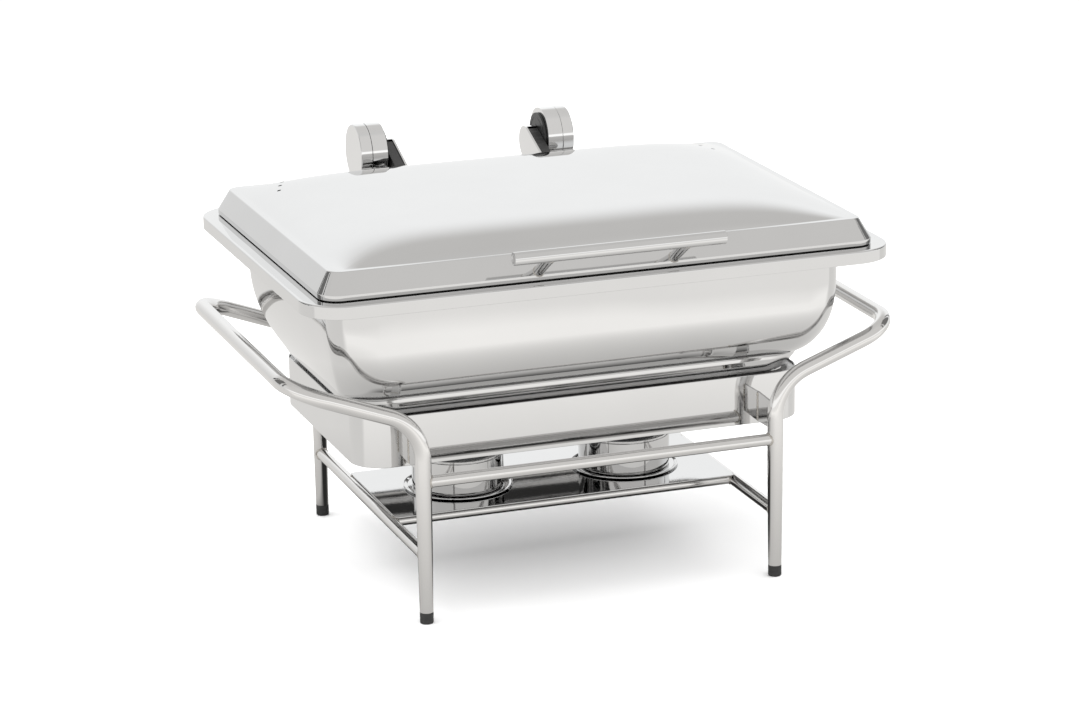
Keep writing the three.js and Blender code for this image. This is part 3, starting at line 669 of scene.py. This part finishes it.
# ---- pans and rim
PAN_CORNER = 42 * MM
PAN_WALL = 1.3 * MM
PAN_END_CURVE_R = 165 * MM
PAN_SIDE_CURVE_R = 60 * MM
PAN_FOOT_Y = 131 * MM
PAN_GRID = dict(corner_steps=18, along=(26, 16))
RIM_SHEET = 1.5 * MM


def curve_inset(start, radius, z):
    drop = max(start - z, 0)
    return radius - math.sqrt(max(radius ** 2 - drop ** 2, 0))


def draft_inset(start, blend, slope, z):
    """A slope that comes in gently over a height of blend below start."""
    drop = max(start - z, 0)
    return slope * (drop ** 2 / (2 * blend) if drop < blend else drop - blend / 2)


def build_water_pan():
    """A bath with round ends. Its front and back turn in to a narrow foot that draws in downwards."""
    hx, hy, _ = half("water_pan")
    bottom, top = z_span("water_pan")
    end_start, side_start = bottom + 99 * MM, bottom + 76 * MM
    foot_top = bottom + 14.5 * MM
    bend_height = 0.42 * MM

    def section(z, inset=0.0):
        x = hx - curve_inset(end_start, PAN_END_CURVE_R, z) - inset
        lean = draft_inset(top - 24 * MM, 30 * MM, 0.015, z)
        body = max(hy - curve_inset(side_start, PAN_SIDE_CURVE_R, z) - lean, PAN_FOOT_Y)
        foot = PAN_FOOT_Y - 0.35 * max(foot_top - z, 0)
        share = 1 / (1 + math.exp(-(z - foot_top) / bend_height))
        return rounded(x, foot * (1 - share) + body * share - inset, PAN_CORNER - inset, **PAN_GRID)

    bend_top = foot_top + 2.4 * MM
    shares = np.linspace(0, 1, 26)[1:]
    heights = [
        *np.linspace(bottom, foot_top - 2.5 * MM, 6), *np.linspace(foot_top - 2 * MM, bend_top, 14),
        *(bend_top + (side_start - bend_top) * shares ** 1.35),
        *np.linspace(side_start, top - 0.4 * MM, 9)[1:], top,
    ]
    edge = 1.5 * MM
    base_x = hx - curve_inset(end_start, PAN_END_CURVE_R, bottom) - edge
    base = rounded(base_x, PAN_FOOT_Y - 6.6 * MM, PAN_CORNER - edge, **PAN_GRID)
    outer = [level(base, bottom), level(section(bottom), bottom + edge)]
    outer += [level(section(z), z) for z in heights[1:]]
    inner = []
    for z in reversed(heights):
        lifted = z + (PAN_WALL if z < end_start else 0)
        inner.append(level(section(z, PAN_WALL), min(lifted, top)))
    obj = make_object("water_pan_body", *skin(outer + inner), SHEET)
    place(smooth(obj, 60), "chafer", "mirror_steel", "water_pan")


def build_rim():
    """A flat frame with its outer edge turned down. Its outline runs evenly from that edge to the opening."""
    hx, hy, _ = half("rim_frame")
    bottom, top = z_span("rim_frame")
    outer = np.array((hx, hy, 42 * MM))
    opening = np.array((256, 153.5, 34)) * MM
    width, waist = hx - opening[0], (bottom + top) / 2
    profile = fillet([
        (RIM_SHEET, waist), (RIM_SHEET, bottom), (0, bottom), (0, top), (width, top),
        (width, top - RIM_SHEET), (RIM_SHEET, top - RIM_SHEET), (RIM_SHEET, waist),
    ], np.array((0.5, 0.5, 1.8, 0.5, 0.4, 0.6)) * MM, steps=5)[:-1]
    rings = []
    for inward, z in profile:
        x, y, corner = outer + (opening - outer) * inward / width
        rings.append(level(rounded(x, y, corner, 16, (26, 18)), z))
    obj = make_object("rim_frame_sheet", *skin(rings, looped=True), SHEET)
    for side, _ in SIDES:
        for which in ("inner", "outer"):
            x, _, z = middle(f"hinge_screw_{which}_{side}")
            drill(obj, SCREW_HOLE_R, 10 * MM, 24, "y", (x, hy, z))
    place(shade(obj, 50), "chafer", "mirror_steel", "rim_frame")


def build_food_pan():
    """A pressed pan: a floor, a round bend, drafted walls and a flange. The inside follows the outside."""
    hx, hy, _ = half("food_pan")
    bottom, top = z_span("food_pan")
    sheet = 1 * MM
    flange_z = top - sheet
    mouth, base = np.array((252.5, 150, 33)) * MM, np.array((245, 142.5, 33)) * MM
    flange = np.array((hx, hy, 22 * MM))

    def floor_bend(radius, inset, z, shares):
        turns = shares * math.pi / 2
        return [(base, inset + radius * (1 - math.sin(a)), z + radius * (1 - math.cos(a))) for a in turns]

    shares = np.linspace(0.1, 1, 9)
    steps = [
        (base, 14 * MM, bottom), *floor_bend(12 * MM, 0, bottom, shares),
        (mouth, 0.3 * MM, flange_z - 2.5 * MM), (mouth, 0, flange_z - 0.6 * MM), (mouth, -1.2 * MM, flange_z),
        (flange, 0.5 * MM, flange_z), (flange, 0, flange_z + 0.5 * MM), (flange, 0.5 * MM, top),
        (mouth, -2 * MM, top), (mouth, 0.2 * MM, top - 0.6 * MM), (mouth, sheet, top - 2.2 * MM),
        *floor_bend(11 * MM, sheet, bottom + sheet, shares[::-1]), (base, 15 * MM, bottom + sheet),
    ]
    rings = [level(rounded(*(size - inset), 14, (20, 12)), z) for size, inset, z in steps]
    obj = make_object("food_pan_insert", *skin(rings), SATIN)
    place(shade(obj, 50), "chafer", "plain_steel", "food_pan")


# ---- lid
LIP = np.array((*half("lid_shell")[:2], 21 * MM))
LIP_Z = low("lid_shell")[2]
LIP_TOP = LIP_Z + 4.4 * MM
SHOULDER = LIP - np.array((11.5, 11.5, 8)) * MM
SHOULDER_Z = LIP_TOP + 20 * MM
LEDGE = 5.5 * MM
DOME_RISE = high("lid_shell")[2] - SHOULDER_Z
DOME_POWER = (5.5, 4.6)
DOME_BLEND = 0.78       # makes the front and the back of the dome rise steeply from the ledge
DOME_FILLET = 0.03      # the share of the rise over which the dome's foot curves into the ledge
LID_GRID = dict(corner_steps=14, along=(56, 38))
LID_WALL = 1.1 * MM
POST_FOOT = np.array((-194.1, 344.2)) * MM      # Y and Z where a post's axis meets the slope
VENTS = ((236, 113), (229.5, 132), (222, 151))     # a row of holes at each back corner, in millimetres


def dome_height(x, y):
    foot_z = SHOULDER_Z + 0.2 * MM
    u = np.clip(np.abs(x) / (SHOULDER[0] - LEDGE), 0, 1)
    v = np.clip(np.abs(y) / (SHOULDER[1] - LEDGE), 0, 1)
    rise = (1 - u ** DOME_POWER[0]) * (1 - v ** DOME_POWER[1]) ** DOME_BLEND
    return foot_z + (DOME_RISE - 0.2 * MM) * rise * (1 + DOME_FILLET) * rise / (rise + DOME_FILLET)


def dome_ring(scale, inset=0.0):
    x, y, corner = (SHOULDER - LEDGE - inset) * scale
    plan = rounded(x, y, corner, **LID_GRID)
    return np.column_stack([plan, dome_height(plan[:, 0], plan[:, 1]) - inset])


def build_lid():
    """An upright lip, a slope, a narrow ledge and the dome, as an outer and an inner surface."""
    width = LIP[0] - SHOULDER[0]
    lip_z = LIP_Z - 0.7 * MM

    def between(inward, inset=0.0):
        """The outline at a distance in from the lip, on the way to the shoulder."""
        x, y, corner = LIP + (SHOULDER - LIP) * inward / width - inset
        return rounded(x, y, corner, **LID_GRID)

    side = fillet([
        (1.4 * MM, lip_z), (0, lip_z), (0, LIP_TOP), (width, SHOULDER_Z),
        (width + LEDGE, SHOULDER_Z + 0.2 * MM),
    ], np.array((0.7, 1.4, 2)) * MM, steps=6)[:-1]
    scales = [*(1 - np.linspace(0, 1, 54)[:-1] ** 1.7), 0.004]
    outer = [level(between(inward), z) for inward, z in side] + [dome_ring(scale) for scale in scales]
    inner = [level(between(inward, LID_WALL), z - (LID_WALL if z > LIP_TOP else 0)) for inward, z in side[2:]]
    inner[0][:, 2] = lip_z
    inner += [dome_ring(scale, LID_WALL) for scale in scales[:-1:2] + scales[-1:]]
    obj = make_object("lid_dome", *skin(inner[::-1] + outer), SHEET)
    for x, y in VENTS:
        z = float(dome_height(x * MM, y * MM))
        for sign in (-1, 1):
            drill(obj, 2.1 * MM, 6 * MM, 28, "z", (sign * x * MM, y * MM, z))
    place(smooth(obj, 40), "lid", "mirror_steel", "lid_shell")


def build_seal():
    hx, hy, _ = half("lid_gasket")
    bottom, top = z_span("lid_gasket")
    width, waist, corner = 6.5 * MM, (bottom + top) / 2, 18.5 * MM
    profile = fillet([
        (-width, waist), (-width, bottom), (0, bottom), (0, top), (-width, top), (-width, waist),
    ], 0.3 * MM, steps=3, support=0.1 * MM)[:-1]
    # Near-black seal under the lid's lip: partly a dark seal, partly painted shade for the gap there.
    obj = make_object("lid_seal", *skin(banded(profile, hx, hy, corner, 14, (8, 6)), looped=True), SEAL)
    place(shade(obj, 50), "lid", "gasket_rubber", "lid_gasket")


def build_handle():
    """A round bar whose ends hold a plug that is set in a little, on two slanting posts."""
    node = "lid_handle_rod"
    centre, (reach, radius, _) = middle(node), half(node)
    plug, plug_x = radius - 1.3 * MM, reach - 0.7 * MM
    profile = fillet([
        (0, -plug_x - 0.4 * MM), (plug, -plug_x), (plug, -reach), (radius, -reach),
        (radius, reach), (plug, reach), (plug, plug_x), (0, plug_x + 0.4 * MM),
    ], np.array((0.2, 0.3, 0.5, 0.5, 0.3, 0.2)) * MM, steps=5)
    split = len(profile) // 2
    profile[split:split] = [(radius, x) for x in np.linspace(-reach + 4 * MM, reach - 4 * MM, 30)]
    obj = make_object("lid_handle_bar", *turned(profile, 48, "x", centre), SPUN)
    place(shade(obj, 50), "lid", "mirror_steel", node)
    beads = []
    for side, sign in SIDES:
        beads.extend(build_handle_post(side, sign, centre, radius))
    obj = make_object("lid_handle_welds", *merge(beads), WELD)
    place(smooth(obj, 80), "lid", "mirror_steel")


def build_handle_post(side, sign, rod, rod_radius):
    """A post that widens upwards. Gives back the beads of weld on the lid's slope and on the rod."""
    node = f"lid_handle_post_{side}"
    x = middle(node)[0]
    head, foot = np.array((x, rod[1], rod[2])), np.array((x, *POST_FOOT))
    axis = (head - foot) / np.linalg.norm(head - foot)
    start, end = foot - axis * 1.5 * MM, head - axis * (rod_radius - 0.6 * MM)
    shares = np.linspace(0, 1, 14)
    path = [start + (end - start) * share for share in shares]
    mesh = sweep(path, (5.1 + 0.9 * shares ** 2) * MM, 40, up=RIGHTWARDS)
    obj = make_object(f"lid_handle_stem_{side}", *mesh, SPUN)
    place(smooth(obj, 50), "lid", "mirror_steel", node)

    slope = np.array((0, LIP_TOP - SHOULDER_Z, LIP[0] - SHOULDER[0]))      # the slope's normal
    slope /= np.linalg.norm(slope)
    shoulder = np.array((x, -SHOULDER[1], SHOULDER_Z))
    foot_radius, head_radius = 5.2 * MM, 5.9 * MM
    on_lid, on_rod = [], []
    for a in np.linspace(0, 2 * np.pi, 40, endpoint=False):
        around = math.cos(a) * RIGHTWARDS + math.sin(a) * np.cross(axis, RIGHTWARDS)
        point = foot + foot_radius * around
        on_lid.append(point + axis * float(((shoulder - point) @ slope) / (axis @ slope)))
        depth = math.sqrt(rod_radius ** 2 - (head_radius * math.sin(a)) ** 2)
        on_rod.append(head + head_radius * around - axis * depth)
    return bead(on_lid, 0.6 * MM, 7 + sign), bead(on_rod, 0.55 * MM, 17 + sign)


# ---- hinges
_, HINGE_Y, HINGE_Z = middle("hinge_cap_right")
DRUM_WALL = 2.5 * MM


def hinge_point(y, z):
    return (HINGE_Y + y * MM, HINGE_Z + z * MM)


def arm_outline(inset, top_inset, steps=20):
    """Side view of the arm, measured from the hinge axis in millimetres."""
    head_y, head_z, slope = 2.5, -6.5, 0.39
    radius, top_radius = 17.5 - inset, 17.5 - top_inset
    tip_y = (SHOULDER[1] - HINGE_Y) / MM - 1
    under_z = (LIP_TOP + 2 * MM - HINGE_Z) / MM + inset
    top_y = head_y - top_radius * math.sin(slope)
    top_z = head_z + top_radius * math.cos(slope)
    tip_z = top_z - (top_y - tip_y) * math.tan(slope)
    points = [(tip_y, tip_z), (tip_y, under_z), (head_y - radius * 0.6, under_z)]
    for angle in np.linspace(-math.pi / 2, math.pi / 2 + (slope if top_inset >= inset else 0), steps):
        points.append((head_y + radius * math.cos(angle), head_z + radius * math.sin(angle)))
    points.append((top_y, top_z))
    return [hinge_point(y, z) for y, z in points]


def lid_block(x_start, x_end):
    """The space the lid fills at its back slope."""
    clear = 0.35 * MM
    back, shoulder = LIP[1] + clear, SHOULDER[1] + clear
    return prism([
        (0, LIP_Z - 30 * MM), (back, LIP_Z - 30 * MM), (back, LIP_TOP), (shoulder, SHOULDER_Z),
        (shoulder - 8 * MM, SHOULDER_Z + 9 * MM), (0, SHOULDER_Z + 60 * MM),
    ], x_start, x_end)


def x_ends(node):
    """How far a node's near and far sides are from the centre."""
    return sorted((abs(low(node)[0]), abs(high(node)[0])))


def turned_on_hinge(profile, sides, start, sign=1, looped=False):
    """A turned solid on the hinge's axis. Its heights run from start, to the right or to the left."""
    vertices, faces = turned(profile, sides, "x", looped=looped)
    if (sign > 0) != looped:        # the order of a face's corners has a small effect on later cuts
        faces = [tuple(reversed(face)) for face in faces]
    return vertices * (sign, 1, 1) + (start, HINGE_Y, HINGE_Z), faces


def build_drum_cap(side, sign):
    node = f"hinge_cap_{side}"
    near, far = x_ends(node)
    width, radius = far - near, half(node)[1]
    profile = fillet([
        (0, width - DRUM_WALL), (radius - DRUM_WALL, width - DRUM_WALL), (radius - DRUM_WALL, 0), (radius, 0),
        (radius, width), (0, width),
    ], np.array((1, 0.2, 0.7, 1.6)) * MM, steps=6)
    obj = make_object(f"hinge_drum_cap_{side}", *turned_on_hinge(profile, 96, sign * near, sign), CHROME)
    place(shade(obj, 40), "chafer", "hinge_chrome", node)


def build_drum(side, sign):
    """The fixed part of the drum, and its foot on the back of the rim."""
    node = f"hinge_housing_{side}"
    near, far = x_ends(node)
    width, radius, start = far - near, half(f"hinge_cap_{side}")[1], sign * near
    solid = turned_on_hinge([(0, 0), (radius, 0), (radius, width), (0, width)], 96, start, sign)
    obj = make_object(f"hinge_drum_{side}", *solid, CHROME)
    foot_y, foot_z, plate = high("rim_frame")[1] + 0.3 * MM, low("rim_frame")[2], 4 * MM
    carve(obj, prism([
        (foot_y, foot_z), (foot_y + plate, foot_z), (foot_y + plate, foot_z + 14 * MM),
        hinge_point(4, -27), hinge_point(-24, -14), (foot_y, foot_z + 27 * MM),
    ], sign * near, sign * far), "UNION")
    inside, beyond = radius - DRUM_WALL, width + 5 * MM
    hollow = [(0, DRUM_WALL), (inside, DRUM_WALL), (inside, beyond), (0, beyond)]
    carve(obj, turned_on_hinge(hollow, 96, start, sign))
    drill(obj, SHAFT_HOLE_R, 20 * MM, 40, "x", (start, HINGE_Y, HINGE_Z))
    for which in ("inner", "outer"):
        x, _, z = middle(f"hinge_screw_{which}_{side}")
        drill(obj, SCREW_HOLE_R, 9 * MM, 24, "y", (x, foot_y, z))
    soften(obj, 0.6 * MM, 3, 40)
    place(shade(obj, 35), "chafer", "hinge_chrome", node)


def build_cartridge(side):
    """The friction cartridge, with a waist round its middle."""
    node = f"hinge_damper_{side}"
    r, w = half(node)[1], 2 * half(node)[0]
    profile = fillet([
        (SHAFT_HOLE_R, w / 2), (SHAFT_HOLE_R, 0), (r, 0), (r, w * 0.3), (r - 1 * MM, w * 0.34),
        (r - 1 * MM, w * 0.62), (r, w * 0.66), (r, w), (SHAFT_HOLE_R, w), (SHAFT_HOLE_R, w / 2),
    ], 0.4 * MM, steps=3)[:-1]
    mesh = turned_on_hinge(profile, 64, low(node)[0], looped=True)
    place(shade(make_object(f"hinge_cartridge_{side}", *mesh, PLASTIC), 40), "chafer", "hinge_plastic", node)


def build_shaft(side):
    node = f"hinge_shaft_{side}"
    reach, r, _ = half(node)
    profile = fillet([(0, -reach), (r, -reach), (r, reach), (0, reach)], 0.5 * MM, steps=3)
    obj = make_object(f"hinge_pin_{side}", *turned(profile, 40, "x", middle(node)), SATIN)
    place(shade(obj, 40), "lid", "plain_steel", node)


def build_washer(side, sign):
    """The black disc between drum and arm, with a shallow groove in its face."""
    node = f"hinge_washer_{side}"
    near, far = x_ends(node)
    r, w, groove = half(node)[1], far - near, 0.4 * MM
    profile = fillet([
        (SHAFT_HOLE_R, w / 2), (SHAFT_HOLE_R, 0), (r - 6 * MM, 0), (r - 5.4 * MM, groove),
        (r - 4.6 * MM, groove), (r - 4 * MM, 0), (r, 0), (r, w), (SHAFT_HOLE_R, w), (SHAFT_HOLE_R, w / 2),
    ], 0.3 * MM, steps=3)[:-1]
    mesh = turned_on_hinge(profile, 80, sign * near, sign, looped=True)
    place(shade(make_object(f"hinge_disc_{side}", *mesh, PLASTIC), 40), "lid", "hinge_plastic", node)


def build_arm(side, sign):
    """A chrome cover, open on top and towards the drum, round a black core."""
    near, far = x_ends(f"hinge_arm_{side}")
    sheet = 2.5 * MM
    block = lid_block(sign * (near - 10 * MM), sign * (far + 10 * MM))
    cover = prism(arm_outline(0, 0), sign * near, sign * far)
    obj = make_object(f"hinge_arm_cover_{side}", *cover, CHROME)
    carve(obj, prism(arm_outline(2.5, -5), sign * (near + sheet), sign * (far + 5 * MM)))
    carve(obj, block)
    soften(obj, 0.7 * MM, 3, 40)
    place(shade(obj, 35), "lid", "hinge_chrome", f"hinge_arm_{side}")

    core = prism(arm_outline(2.8, 0.9), sign * (near + sheet + 0.3 * MM), sign * far)
    obj = make_object(f"hinge_arm_fill_{side}", *core, PLASTIC)
    carve(obj, block)
    drill(obj, SHAFT_HOLE_R, 40 * MM, 40, "x", (sign * near, HINGE_Y, HINGE_Z))
    soften(obj, 0.4 * MM, 2, 40)
    place(shade(obj, 35), "lid", "hinge_plastic", f"hinge_arm_core_{side}")


def build_screw(which, side):
    """A round-headed screw with a cross slot."""
    node = f"hinge_screw_{which}_{side}"
    x, _, z = middle(node)
    r, head = half(node)[0], 2.2 * MM
    shank, seat = 1.8 * MM, high(node)[1] - head
    tip = low(node)[1] - seat
    profile = fillet([
        (0, tip), (shank, tip), (shank, 0), (r, 0), (r, head * 0.45), (r * 0.72, head * 0.9), (0, head),
    ], np.array((0.3, 0.1, 0.2, 0.5, 0.6)) * MM, steps=4)
    obj = make_object(f"screw_{which}_{side}", *turned(profile, 40, "y", (x, seat, z)), SATIN)
    slot_y, beyond = seat + 0.9 * MM, seat + 4 * MM
    for sx, sz in np.array(((2.0, 0.45), (0.45, 2.0))) * MM:
        slot = [(slot_y, z - sz), (beyond, z - sz), (beyond, z + sz), (slot_y, z + sz)]
        carve(obj, prism(slot, x - sx, x + sx))
    place(shade(obj, 40), "chafer", "plain_steel", node)


def build_hinges():
    for side, sign in SIDES:
        build_drum_cap(side, sign)
        build_drum(side, sign)
        build_cartridge(side)
        build_shaft(side)
        build_washer(side, sign)
        build_arm(side, sign)
        build_screw("inner", side)
        build_screw("outer", side)


# ---- studio
WALL = 1.2           # how bright the back wall is
WALL_LEFT = 0.95
CEILING = 0.73
FRONT = 0.8
PANEL = 1.3          # a lit strip low in front
FLOOR_FAR = 1.0
DOME = 2.0           # what lights the object and the floor evenly from all round
BACKDROP = 1.05      # what the camera sees
CAMERA_ANGLES = (-19.567, 16.259, -0.836)      # azimuth, elevation and roll, in degrees
CAMERA_OFFSET = (-0.0027, 0.1887, 3.7758)      # from the middle of the feet: right, up and back, in metres
CAMERA_LENS = 122.42                           # on a sensor 36 mm wide


def emission(name, value):
    """A card's tone. It glows on the front, and the back is clear."""
    material, tree = node_material(name)
    colour = (value, value * 0.99, value * 0.975, 1)
    light = tree.add("ShaderNodeEmission", {"Color": colour}).outputs[0]
    clear = tree.add("ShaderNodeBsdfTransparent").outputs[0]
    behind = tree.add("ShaderNodeNewGeometry").outputs["Backfacing"]
    one_sided = tree.add("ShaderNodeMixShader", {0: behind, 1: light, 2: clear})
    tree.add("ShaderNodeOutputMaterial", {0: one_sided.outputs[0]})
    return material


def card(name, seen_from, heading, distance, width, bottom, top, value):
    """An upright studio card that only reflections see. Heading 0 is straight back and 90 to the right."""
    a = math.radians(heading)
    outward = np.array((math.sin(a), math.cos(a), 0))
    along = np.array((math.cos(a), -math.sin(a), 0))
    centre = np.array((*seen_from, 0)) + outward * distance
    corners = [centre + along * s * width / 2 + np.array((0, 0, z))
               for s, z in ((-1, bottom), (1, bottom), (1, top), (-1, top))]
    obj = make_object(name, corners, [(0, 1, 2, 3)], emission(f"{name}_tone", value))
    for flag in ("visible_camera", "visible_diffuse", "visible_shadow"):
        setattr(obj, flag, False)


def build_world():
    """A white studio: a bright back wall, a grey ceiling and a lit strip low in front."""
    world = bpy.data.worlds.new("studio")
    bpy.context.scene.world = world
    world.use_nodes = True
    tree = Tree(world.node_tree)
    direction = tree.add("ShaderNodeTexCoord").outputs["Generated"]
    x, y, z = tree.add("ShaderNodeSeparateXYZ", {0: direction}).outputs
    elevation = tree.math("MULTIPLY", tree.math("ARCSINE", z), 180 / math.pi)
    wall = tree.blend(tree.remap(x, -0.55, 0.1, 0, 1, True), grey(WALL_LEFT), grey(WALL, -0.01))
    fade = tree.remap(elevation, 0, 22, 0.88, 1.0)
    fade = tree.add("ShaderNodeCombineXYZ", {0: fade, 1: fade, 2: fade}).outputs[0]
    wall = tree.blend(1.0, wall, fade, "MULTIPLY")
    behind = tree.blend(tree.remap(elevation, 24, 46, 0, 1, True), wall, grey(CEILING, 0.012))
    panel_bottom = tree.remap(elevation, -4, 0, 0, 1, True)
    panel = tree.math("MULTIPLY", panel_bottom, tree.remap(elevation, 9, 13, 1, 0, True))
    in_front = tree.blend(panel, grey(FRONT, 0.012), grey(PANEL))
    in_front = tree.blend(tree.remap(elevation, 66, 76, 0, 1, True), in_front, grey(CEILING))
    sky = tree.blend(tree.remap(y, -0.3, 0.3, 0, 1, True), in_front, behind)
    sky = tree.blend(tree.remap(elevation, -8, -2, 0, 1, True), grey(FLOOR_FAR), sky)
    sky = tree.blend(1.0, sky, (1.0, 0.997, 0.988, 1), "MULTIPLY")
    path = tree.add("ShaderNodeLightPath").outputs
    colour = tree.blend(path["Is Diffuse Ray"], sky, grey(DOME))
    colour = tree.blend(path["Is Camera Ray"], colour, grey(BACKDROP))
    background = tree.add("ShaderNodeBackground", {"Color": colour})
    tree.add("ShaderNodeOutputWorld", {0: background.outputs[0]})


def build_floor():
    """A pale floor. Reflections see a painted glow in its place, with painted shadow that is darkest under
    the stand, where little light reaches it.
    """
    material, tree = node_material("studio_floor")
    point = tree.add("ShaderNodeTexCoord").outputs["Object"]
    tint = tree.blend(tree.noise(point, 3.0, 2.0), grey(0.9), grey(0.92))
    matt = {"Base Color": tint, "Roughness": 0.9, "Specular IOR Level": 0.1}
    paint = tree.add("ShaderNodeBsdfPrincipled", matt).outputs[0]
    x, y, _ = tree.add("ShaderNodeSeparateXYZ", {0: point}).outputs

    def outside(value, reach):
        """How far a value is beyond reach, to either side of 0."""
        return tree.math("MAXIMUM", tree.math("SUBTRACT", tree.math("ABSOLUTE", value), reach), 0.0)

    def square(value):
        return tree.math("MULTIPLY", value, value)

    beside = outside(x, 0.17)
    beyond = outside(tree.math("SUBTRACT", y, CENTRE[1] + 0.035), 0.125)
    away = tree.math("SQRT", tree.math("ADD", square(beside), square(beyond)))
    # Painted light and shadow: the glow is dim under the stand, brightens with distance, drops beyond about a
    # metre and is capped lower except far in front.
    lit = tree.math("ADD", tree.remap(away, 0.0, 0.08, 0.03, 0.66), tree.remap(away, 0.08, 0.85, 0.0, 0.62))
    lit = tree.math("SUBTRACT", lit, tree.remap(away, 0.97, 1.11, 0.0, 0.2))
    lit = tree.math("MINIMUM", lit, tree.remap(y, -0.4, -0.15, 1.3, 0.9, True))
    # The painted glow is seen only by reflections; the camera and lights see the matt paint.
    glow = tree.add("ShaderNodeEmission", {"Color": (1, 0.985, 0.96, 1), "Strength": lit}).outputs[0]
    reflected = tree.add("ShaderNodeLightPath").outputs["Is Glossy Ray"]
    mixed = tree.add("ShaderNodeMixShader", {0: reflected, 1: paint, 2: glow})
    tree.add("ShaderNodeOutputMaterial", {0: mixed.outputs[0]})
    sides, radius, z = 96, 3.0, -0.2 * MM
    angle = np.linspace(0, 2 * np.pi, sides, endpoint=False)
    ring = np.column_stack([radius * np.cos(angle), radius * np.sin(angle), np.full(sides, z)])
    make_object("studio_floor", ring, [tuple(range(sides))], material)


def add_key_light():
    data = bpy.data.lights.new("key", "AREA")
    data.shape = "DISK"
    data.size = 1.6
    data.energy = 22
    light = bpy.data.objects.new("key", data)
    position, aim = Vector((-0.9, 0.1, 2.4)), Vector((0.05, 0.0, 0.1))
    light.location = position + Vector(CENTRE)
    light.rotation_euler = (aim - position).to_track_quat("-Z", "Y").to_euler()
    light.visible_glossy = False
    link(light)


def build_camera():
    azimuth, elevation, roll = (math.radians(angle) for angle in CAMERA_ANGLES)
    back = np.array((math.sin(azimuth) * math.cos(elevation), -math.cos(azimuth) * math.cos(elevation),
                     math.sin(elevation)))
    right = np.cross((0, 0, 1), back)
    right /= np.linalg.norm(right)
    up = np.cross(back, right)
    rolled = np.column_stack([right * math.cos(roll) + up * math.sin(roll),
                              up * math.cos(roll) - right * math.sin(roll), back])
    data = bpy.data.cameras.new("camera")
    data.sensor_width = 36
    data.lens = CAMERA_LENS
    data.clip_end = 50
    camera = bpy.data.objects.new("camera", data)
    matrix = np.eye(4)
    matrix[:3, :3] = rolled
    matrix[:3, 3] = rolled @ CAMERA_OFFSET + CENTRE
    camera.matrix_world = Matrix(matrix.tolist())
    link(camera)
    bpy.context.scene.camera = camera


def build_studio():
    build_world()
    build_floor()
    left, right = (-0.277, -0.19), (0.277, -0.19)
    card("flag_left", left, -50, 0.62, 0.3, 0.36, 1.0, 0.2)
    card("flag_left_front", left, -72, 0.6, 0.05, 0.36, 0.85, 0.05)
    card("flag_left_back", left, -31, 0.6, 0.05, 0.36, 0.75, 0.05)
    card("flag_right", right, 78, 0.62, 0.36, 0.36, 1.0, 0.22)
    card("flag_right_front", right, 101, 0.6, 0.04, 0.36, 0.85, 0.05)
    card("flag_right_back", right, 55, 0.6, 0.04, 0.3, 0.75, 0.05)
    card("flag_under_back", (0, 0), 0, 0.2, 0.4, 0.142, 0.175, 0.03)
    add_key_light()
    build_camera()
    bpy.context.scene.view_settings.view_transform = "Standard"
    bpy.context.scene.view_settings.look = "None"


build_end_frames()
build_rails()
build_feet()
build_ring()
build_ledge()
build_brackets()
build_tray()
build_burners()
build_water_pan()
build_rim()
build_food_pan()
build_lid()
build_seal()
build_handle()
build_hinges()
build_studio()
